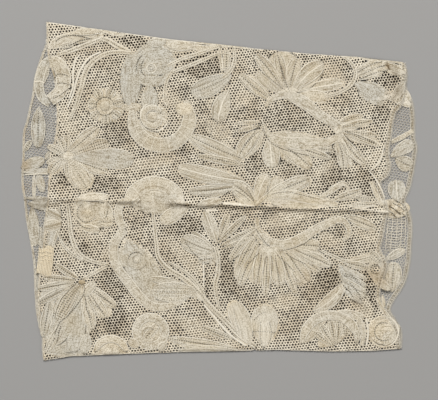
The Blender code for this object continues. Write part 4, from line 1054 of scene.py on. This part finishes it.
UNDER_RINGS = (
    ("ground", 0.4, -30.5, 37, 12.4, 3.1), ("ground", 0.4, -79, -64.5, 9.3, 3.1),
    ("ground", 0.4, 57.5, -74.5, 9.3, 2.6, 20, 150), ("ground", 0.4, -66, -12, 10.3, 2.6),
    ("ground", 0.4, 6.5, -71.5, 7.8, 2.6),
)
under_work = new_cloth()
for row in UNDER_PETALS:
    add_petal(under_work, *row)
for row in UNDER_GROUNDS:
    add_petal(under_work, "ground", COVERED_TONE, *row)
for style, tone, half_widths, lines in UNDER_BANDS:
    for points in lines:
        add_band(under_work, style, tone, points, half_widths)
for ring in UNDER_RINGS:
    add_ring(under_work, *ring)
finish_piece("under_clothwork", under_work, "back", clothwork_linen, (
    "band_under_right", "petal_under_high", "petal_under_mid", "petal_under_low", "leaf_under_low",
))

# The scalloped edging on the right end of both layers
# A narrow footing worked along the scallops: two cords with a row of square holes between them, and
# small loops of thread, the picots, standing out from the outer cord.
FRONT_RIGHT = (
    (96, 66.8), (96.3, 59.1), (95.5, 51.8), (94.5, 45.1), (91.4, 41), (89.7, 35.3), (88.8, 27.5),
    (87.6, 20.8), (88.6, 13), (87.1, 7.9), (83.4, 4.3), (85.4, -3.7), (87, -8.7), (86, -15.9),
    (84.4, -24.2), (83.1, -29.9), (85.2, -34), (86.8, -37.6), (85.2, -43.3), (82.9, -51.6), (83.6, -57.3),
    (87, -62.4), (90.9, -68.1), (93.1, -73.8), (93.3, -78), (94, -81.6),
)
BACK_RIGHT = (
    (96, 66.8), (97.3, 60.6), (96.8, 53.9), (98.9, 49.2), (100.4, 45.1), (101.1, 37.9), (101.2, 28.6),
    (102.4, 22.4), (101.5, 15.6), (100.2, 7.9), (98.6, 1.2), (96.3, -5), (98.9, -11.8), (99.9, -18),
    (99.4, -27.3), (98.9, -35), (97.3, -43.8), (94.7, -50), (90.9, -55.7), (88.5, -61.4), (91.4, -66.6),
    (94.1, -71.7), (94.5, -76.9), (94, -81.6),
)
# The footing's row of holes and its cords: how far inside the edge, half width, kind and height
FOOTING = ((1.05, 0.62, "holes", 0.15), (2.0, 0.17, "cord", 0.25), (0.2, 0.17, "cord", 0.25))
PICOT_PITCH, PICOT_STEPS, PICOT_REACH, PICOT_THREAD, PICOT_RISE = 1.24, 6, 0.5, 0.09, 0.15
EDGE_STEP = 0.8
EDGE_TONE = {"front": 0.8, "back": 0.5}
EDGE_CREAM, EDGE_GREY = (0.66, 0.59, 0.47), (0.56, 0.54, 0.48)


def beside(line, distance):
    """A line moved sideways, to the left of its direction, by one distance all along."""
    return shifted_line(line, [distance] * len(line))


def add_thread(cloth, line, half_width, style, tone, rise):
    """A thread or narrow row as wide all along, but for its closed ends."""
    add_sleeve(cloth, line, closed_ends([half_width] * len(line)), style, tone, rise)


edge_linen = linen("edge_linen", EDGE_CREAM, EDGE_GREY, CORD, PINHOLE, weave_pitch=0.4, hole_pitch=1.5)
for layer, scallops in (("front", FRONT_RIGHT), ("back", BACK_RIGHT)):
    edging = new_cloth()
    edge = smooth_line(scallops, EDGE_STEP)
    for inside, half_width, style, rise in FOOTING:
        add_thread(edging, beside(edge, -inside), half_width, style, EDGE_TONE[layer], rise)
    loops = smooth_line(scallops, PICOT_PITCH / PICOT_STEPS)
    reaches = [PICOT_REACH * abs(math.sin(math.pi * k / PICOT_STEPS)) for k in range(len(loops))]
    add_thread(edging, shifted_line(loops, reaches), PICOT_THREAD, "cord", EDGE_TONE[layer], PICOT_RISE)
    finish_piece(f"{layer}_scallops", edging, layer, edge_linen, (f"{layer}_edging",))

# The heading on the left end of both layers
# The plain edge by which the lace was sewn on: a narrow woven tape with a bright sewing thread
# whipped along its outer side.
FRONT_LEFT = (
    (-89.5, 87.8), (-89.2, 77.7), (-88.5, 67.9), (-85.4, 57.5), (-84.1, 41), (-84.4, 33.7), (-85.4, 26.5),
    (-88, 18.7), (-87.5, 12), (-88.5, 4.8), (-89, -4.5), (-90.1, -12.3), (-91.1, -25.2), (-92.4, -36.6),
    (-94, -48.5), (-94.2, -56.2), (-93.3, -64.5), (-91.4, -75.4), (-91.4, -82.1), (-91, -87.8),
)
BACK_LEFT = (
    (-89.5, 87.8), (-89.7, 77.5), (-91.6, 72), (-93.7, 66), (-95.8, 58.5), (-96.9, 50.3), (-98.4, 43.5),
    (-99.9, 36.5), (-101.7, 30.1), (-102, 18.2), (-102.5, 4.8), (-101.1, -4.9), (-100.1, -14.9),
    (-98.1, -25.2), (-96.3, -37.9), (-95.7, -51.6), (-94.7, -64), (-92, -75.4), (-91.9, -82.1),
    (-91, -87.8),
)
HEADING_STEP, HEADING_INSIDE, HEADING_HALF, HEADING_RISE = 0.7, 0.75, 0.45, 0.3
WHIP_PITCH, WHIP_INSIDE, WHIP_SWAY = 1.6, 0.15, 0.14
SEWING_THREAD_HALF = {"front": 0.1, "back": 0.16}
for layer, end_line in (("front", FRONT_LEFT), ("back", BACK_LEFT)):
    heading = new_cloth()
    edge = smooth_line(end_line, HEADING_STEP)
    tone = EDGE_TONE[layer]
    add_thread(heading, beside(edge, HEADING_INSIDE), HEADING_HALF, "ground", tone, HEADING_RISE)
    turns = [math.tau * HEADING_STEP * k / WHIP_PITCH for k in range(len(edge))]
    whipped = shifted_line(edge, [WHIP_INSIDE + WHIP_SWAY * math.sin(turn) for turn in turns])
    add_thread(heading, whipped, SEWING_THREAD_HALF[layer], "cord", tone, HEADING_RISE)
    finish_piece(f"{layer}_heading_tape", heading, layer, edge_linen, (f"{layer}_heading",))

# The old mend beside the heading
# A patch of thicker cream thread, darned up and down over a worn place, with three rows of
# whipping across it.
MEND_LEFT, MEND_RIGHT, MEND_TOP, MEND_BOTTOM = -93.2, -85.2, -28.4, -43.8
MEND_LEAN, MEND_BEND = -1.6, 0.15
DARNS, DARN_STEP, DARN_HALF, DARN_TONE, DARN_RISE = 10, 1.2, 0.42, 0.9, 0.6
# How far the darns' upper and lower ends wander, their wave over the patch, and where it starts
UPPER_ENDS, LOWER_ENDS = (-0.8, 7.0, 0.0), (0.9, 5.0, 1.0)
WHIP_ROWS = (-31.6, -33.5, -35.6)
# Each row's points: from the patch's left or right end, and above the row's height
WHIP_START, WHIP_MIDDLE, WHIP_END = (-0.3, 0.0), (3.0, 0.4), (-1.2, 0.2)
WHIP_STEP, ROW_SWAY, ROW_WAVE, ROW_HALF, ROW_TONE, ROW_RISE = 0.6, 0.32, 1.1, 0.3, 1.0, 0.95
MEND_CREAM, MEND_GREY, MEND_CORD = (0.66, 0.58, 0.43), (0.62, 0.54, 0.40), (0.70, 0.61, 0.45)
mend_linen = linen("mend_linen", MEND_CREAM, MEND_GREY, MEND_CORD, PINHOLE, weave_pitch=0.7, hole_pitch=1.4)
mend = new_cloth()
for k in range(DARNS):
    share = (k + 0.5) / DARNS
    x = MEND_LEFT + (MEND_RIGHT - MEND_LEFT) * share
    upper, lower = (
        end + reach * math.sin(wave * share + start)
        for end, (reach, wave, start) in ((MEND_TOP, UPPER_ENDS), (MEND_BOTTOM, LOWER_ENDS))
    )
    halfway = (x + MEND_LEAN * 0.5 + MEND_BEND, (upper + lower) / 2)
    darn = smooth_line(((x, upper), halfway, (x + MEND_LEAN, lower)), DARN_STEP)
    add_thread(mend, darn, DARN_HALF, "cord", DARN_TONE, DARN_RISE)
for row_y in WHIP_ROWS:
    ends = ((MEND_LEFT, WHIP_START), (MEND_LEFT, WHIP_MIDDLE), (MEND_RIGHT, WHIP_END))
    whip = smooth_line([(side + across, row_y + above) for side, (across, above) in ends], WHIP_STEP)
    sways = [ROW_SWAY * math.sin(ROW_WAVE * k) for k in range(len(whip))]
    add_thread(mend, shifted_line(whip, sways), ROW_HALF, "cord", ROW_TONE, ROW_RISE)
finish_piece("mend", mend, "front", mend_linen, ("edge_mend",), hides_net=False)

# The net of both layers
# Six-sided mesh of twisted thread, worked round the flowers and hooked to their rims, so it is left
# out behind them. It turns over at the two pressed folds, where both layers meet.
NET_PITCH, NET_THREAD_HALF, NET_THREAD_RISE, CELL_SIDES = 1.5, 0.22, 0.22, 6
CELL_RADIUS = NET_PITCH / math.sqrt(3.0)
# The sheet is made this much longer than its stretch and this high, so that it covers it when turned.
SPARE_LENGTH, NET_HEIGHT = 60.0, 215.0
NET_MARGIN, FOLD_SLACK = 0.9, 0.2
# A place is behind the clothwork if it and these places round it are, read from above all of it.
SURROUNDINGS = ((0.0, 0.0), (0.6, 0.35), (-0.6, 0.35), (0.0, -0.7))
ABOVE_ALL, DOWNWARDS = 5.0, (0.0, 0.0, -1.0)
# How the mesh drifts: how many swells to a millimetre, where the noise is read, and how far
DRIFTS = ((0.05, 0.0, 0.9), (0.9, 3.0, 0.24))
# The noise of directions starts from the clock unless it has a seed, and the net has to be the same each run.
DRIFT_SEED = 1
noise.seed_set(DRIFT_SEED)
# How near two cells' corners are made one, before and after the threads are drawn
CELL_MERGE, THREAD_MERGE = 0.05, 0.01
# The upper net is drawn closer outside the open places, and unevenly. Under the upper layer the lower
# net's threads lie closer, most so under the open places, and past its ends they lie open.
FRONT_CLOSING, UNEVEN_CLOSING, UNEVEN_GRAIN = 0.13, 0.3, 0.8
CLOSING, OPEN_CLOSING, STRIP_OPENING = 0.45, 0.3, -0.12
# Where the upper layer covers it, the lower net's threads are painted this far towards near black as shade,
# and fully so under the open places.
NET_SHADE, COVERED_SHADE = (0.06, 0.05, 0.04), 0.88
# Where both nets lie open over each other and the holes are made dark, with closer threads and painted shade
# on the lower net: x and y, reach along both, strength
OPEN_PLACES = (
    (-79.5, 6.5, 5, 4, 1), (-62, 3.5, 13, 5, 0.9), (-57.5, 62, 8.1, 8.7, 0.15), (-45, 77.5, 7.8, 3.7, 0.9),
    (-8.5, 63.5, 10.2, 7.1, 1), (-17.5, 52, 6.2, 3.7, 0.7), (-6, 44, 7.8, 3.7, 0.6),
    (-52.5, 30.5, 9, 7.8, 0.75), (-38, 20, 3.7, 3.4, 0.7), (-17.5, 22, 4.3, 4.3, 0.9),
    (-2, 31.5, 7.4, 7.4, 0.6), (14.5, 39.5, 9.3, 4.3, 0.5), (14.5, 30, 6.5, 2.2, 0.6),
    (36.5, 37.5, 15.5, 9.9, 0.55), (58.5, 42.5, 7.8, 5.6, 0.3), (69.5, 43.5, 4, 4.7, 0.3),
    (83, 40.5, 5, 7.8, 0.7), (59.5, 29, 3.7, 3.1, 0.8), (17.5, 13.5, 5.3, 6.2, 0.7),
    (33.5, 15.5, 3.7, 4, 0.8), (40.5, 10, 7.8, 2.2, 0.7), (58.5, 3.5, 6.2, 8.7, 0.9),
    (66, 7, 3.4, 4.7, 0.7), (75.5, 4.5, 6.2, 9.3, 0.9), (-16.5, 7.5, 4.7, 3.1, 0.4),
    (-0.5, 2, 8.4, 4.7, 0.4), (26, -12.5, 4.7, 3.1, 0.7), (-55.5, -15.5, 2.2, 2.5, 0.6),
    (-41, -15.5, 6.2, 2.5, 0.7), (-18.5, -17.5, 13.6, 6.2, 0.9), (-19, -33, 10.9, 9.3, 0.1),
    (-79, -25.5, 3.7, 3.1, 0.9), (-69.5, -29, 3.1, 4.3, 0.9), (5.5, -43, 6.2, 21.1, 0.9),
    (-5.5, -49, 2.2, 7.1, 0.9), (16.5, -52.5, 6.8, 5.9, 0.3), (27.5, -56, 2.8, 3.1, 0.7),
    (45.5, -52, 17.1, 5.3, 0.5), (55.5, -45.5, 7.1, 8.1, 1), (68, -29, 3.7, 4.3, 0.8),
    (58.5, -20.5, 7.8, 5.6, 0.5), (-54, -48, 9.3, 9.9, 1), (-53.5, -65.5, 7.8, 9, 1),
    (-66.5, -71, 4.7, 6.8, 0.8), (-12, -64, 13.3, 9.3, 0.1), (36.5, -70, 5.9, 11.5, 0.15),
    (60, -59.5, 6.5, 6.2, 0.8), (75, -51, 7.4, 13.6, 0.9), (59, 14.5, 7.1, 8.1, 0.7),
    (33.5, 44.5, 9.9, 3.1, 0.3), (53, -69, 6.2, 3.1, 0.6), (47.5, -75.5, 4, 3.1, 0.8),
    (79.5, -56, 3.1, 9.3, 0.9), (65.5, 45.5, 3.7, 5.3, 0.15), (10, -15, 4, 5, 0.6), (46, 70, 5.9, 3.7, 0.5),
    (66, 62.5, 3.7, 6.2, 0.5), (85.5, 57.5, 7.1, 4.7, 1), (-23, 35, 7.1, 4.3, 0.15),
    (24.5, 70, 3.1, 3.7, 0.5),
)
OPEN_EDGE = 2.5
# Each layer's ends, read by their height on the cuff, lowest first
UPWARD_ENDS = {
    layer: tuple(sorted((y, x) for x, y in end_line) for end_line in end_lines)
    for layer, end_lines in (("front", (FRONT_LEFT, FRONT_RIGHT)), ("back", (BACK_LEFT, BACK_RIGHT)))
}


def open_spots():
    """How open both nets lie, on a plan of the cuff in millimetres."""
    spots = {}
    for x, y, reach_x, reach_y, strength in OPEN_PLACES:
        for i in range(math.ceil(-reach_x), math.floor(reach_x) + 1):
            for j in range(math.ceil(-reach_y), math.floor(reach_y) + 1):
                inside = 1.0 - (i / reach_x) ** 2 - (j / reach_y) ** 2
                if inside > 0.0:
                    spot = (round(x) + i, round(y) + j)
                    spots[spot] = max(spots.get(spot, 0.0), strength * min(1.0, OPEN_EDGE * inside))
    return spots


dark_spots = open_spots()


def darkness(place):
    return dark_spots.get((round(place.x), round(place.y)), 0.0)


def in_layer(x, y, layer, margin):
    left, right = (read_table(rows, y) for rows in UPWARD_ENDS[layer])
    inside_ends = left + margin < x < right - margin
    return inside_ends and read_table(BOTTOM_FOLD, x) - FOLD_SLACK < y < read_table(TOP_FOLD, x) + FOLD_SLACK


def behind_clothwork(x, y, layer):
    """Whether a place and its surroundings lie behind the clothwork, so that no net shows there."""
    starts = [(x + across, y + along, ABOVE_ALL) for across, along in SURROUNDINGS]
    return all(any(work.ray_cast(start, DOWNWARDS)[0] for work in flat_work[layer]) for start in starts)


def corners_in(geometry):
    return [item for item in geometry if isinstance(item, bmesh.types.BMVert)]


def new_mesh_sheet(layer, from_x, to_x, turn):
    """The cells of a stretch of net, in rows turned a little, without those behind the clothwork."""
    net = bmesh.new()
    row_step = 1.5 * CELL_RADIUS
    across, rows = round((to_x - from_x + SPARE_LENGTH) / NET_PITCH), round(NET_HEIGHT / row_step)
    for k in range(across):
        spot = Matrix.Translation(((k - across / 2) * NET_PITCH, -rows / 2 * row_step, 0.0))
        bmesh.ops.create_circle(net, cap_ends=True, segments=CELL_SIDES, radius=CELL_RADIUS, matrix=spot)
    first_row = net.verts[:] + net.edges[:] + net.faces[:]
    for k in range(1, rows):
        copied = bmesh.ops.duplicate(net, geom=first_row)["geom"]
        step = Vector(((k % 2) * NET_PITCH / 2, k * row_step, 0.0))
        bmesh.ops.translate(net, verts=corners_in(copied), vec=step)
    turning = Matrix.Rotation(math.radians(turn), 3, "Z")
    bmesh.ops.rotate(net, verts=net.verts[:], cent=(0, 0, 0), matrix=turning)
    bmesh.ops.translate(net, verts=net.verts[:], vec=((from_x + to_x) / 2, 0.0, 0.0))
    left_out = []
    for cell in net.faces:
        x, y, _ = cell.calc_center_median()
        kept = from_x <= x < to_x and in_layer(x, y, layer, NET_MARGIN)
        if not kept or behind_clothwork(x, y, layer):
            left_out.append(cell)
    bmesh.ops.delete(net, geom=left_out, context="FACES")
    bmesh.ops.remove_doubles(net, verts=net.verts[:], dist=CELL_MERGE)
    for corner in net.verts:
        x, y, _ = corner.co
        slow, quick = (noise.noise_vector((x * often, y * often, at)) * reach for often, at, reach in DRIFTS)
        drift = slow + quick
        corner.co.x += drift.x
        corner.co.y += drift.y
    return net


def close_hole(cell, layer):
    """Draws the threads round a hole closer, or opens it, as the cloth lies there."""
    middle = cell.calc_center_median()
    if layer == "front":
        unevenness = UNEVEN_CLOSING * noise.noise(middle * UNEVEN_GRAIN)
        closing = FRONT_CLOSING * (1.0 - darkness(middle)) + unevenness
    elif in_layer(middle.x, middle.y, "front", 0.0):
        closing = CLOSING + OPEN_CLOSING * darkness(middle)
    else:
        closing = STRIP_OPENING
    for corner in cell.verts:
        corner.co += (middle - corner.co) * closing


def add_net(name, layer, from_x, to_x, turn, material, nodes=()):
    """A stretch of net between two places along the cuff, and the flat area of its cells."""
    net = new_mesh_sheet(layer, from_x, to_x, turn)
    cells = net.faces[:]
    flat_area = sum(cell.calc_area() for cell in cells)
    bmesh.ops.inset_individual(net, faces=cells, thickness=NET_THREAD_HALF, depth=0.0)
    for cell in cells:
        close_hole(cell, layer)
    # A thread is thickest along its middle and comes to nothing at the holes.
    rise = net.verts.layers.float.new("rise")
    hole_corners = {corner for cell in cells for corner in cell.verts}
    for corner in net.verts:
        corner[rise] = 0.0 if corner in hole_corners else NET_THREAD_RISE
    bmesh.ops.delete(net, geom=cells, context="FACES")
    for corner in net.verts:
        corner.co.z = -corner[rise]
    raised = bmesh.ops.extrude_face_region(net, geom=net.faces[:])["geom"]
    for corner in corners_in(raised):
        corner.co.z = corner[rise]
    bmesh.ops.remove_doubles(net, verts=net.verts[:], dist=THREAD_MERGE)
    bmesh.ops.recalc_face_normals(net, faces=net.faces[:])
    # Painted shade on the lower net under the upper layer, darkest under the open places
    painted_net_shade = net.verts.layers.float.new("painted_net_shade")
    for corner in net.verts:
        if layer == "back" and in_layer(corner.co.x, corner.co.y, "front", 0.0):
            corner[painted_net_shade] = COVERED_SHADE + (1.0 - COVERED_SHADE) * darkness(corner.co)
    piece = finish_piece(name, net, layer, material, nodes, hides_net=False)
    return piece, flat_area * MM * MM


def thread_linen(name, colour, worn):
    """The net's twisted thread: uneven in colour, with a matt, slightly hairy surface."""
    material, tree, shader, place = new_thread(name, roughness=0.95, specular=0.15)
    clouds = clouded(tree, place, THREAD_CLOUDS, detail=5.0)
    shade = mixed(tree, colour, worn, spread(tree, clouds, CLOUDS_START, CLOUDS_FULL), "MIX")
    # Painted shade on the lower net's threads under the upper layer
    net_shaded = mixed(tree, shade, NET_SHADE, attribute(tree, "painted_net_shade"))
    tree.links.new(stained_with_painted_light(tree, place, net_shaded), shader.inputs["Base Color"])
    embossed(tree, shader, clouded(tree, place, THREAD_TWISTS, detail=2.0), TWIST_STRENGTH, TWIST_DEPTH)
    return material


# Patches and twists of the thread to a metre, where the patches start and are full, and the twists' relief
THREAD_CLOUDS, THREAD_TWISTS, CLOUDS_START, CLOUDS_FULL = 90.0, 4000.0, 0.35, 0.65
TWIST_STRENGTH, TWIST_DEPTH = 0.6, 0.08
front_thread = thread_linen("front_thread", (0.78, 0.705, 0.565), (0.65, 0.56, 0.42))
back_thread = thread_linen("back_thread", (0.80, 0.76, 0.66), (0.66, 0.60, 0.50))
# Each net's reach along the cuff and the turn of its rows in degrees. The lower one is made in halves.
NET_REACH, MIDDLE, FRONT_TURN, BACK_TURN = 110.0, 0.0, 7.0, -11.0
back_left_net, back_left_area = add_net(
    "back_net_left", "back", -NET_REACH, MIDDLE, BACK_TURN, back_thread, ("back_panel",))
back_right_net, back_right_area = add_net("back_net_right", "back", MIDDLE, NET_REACH, BACK_TURN, back_thread)
front_net, front_area = add_net(
    "front_net", "front", -NET_REACH, NET_REACH, FRONT_TURN, front_thread, ("front_panel",))
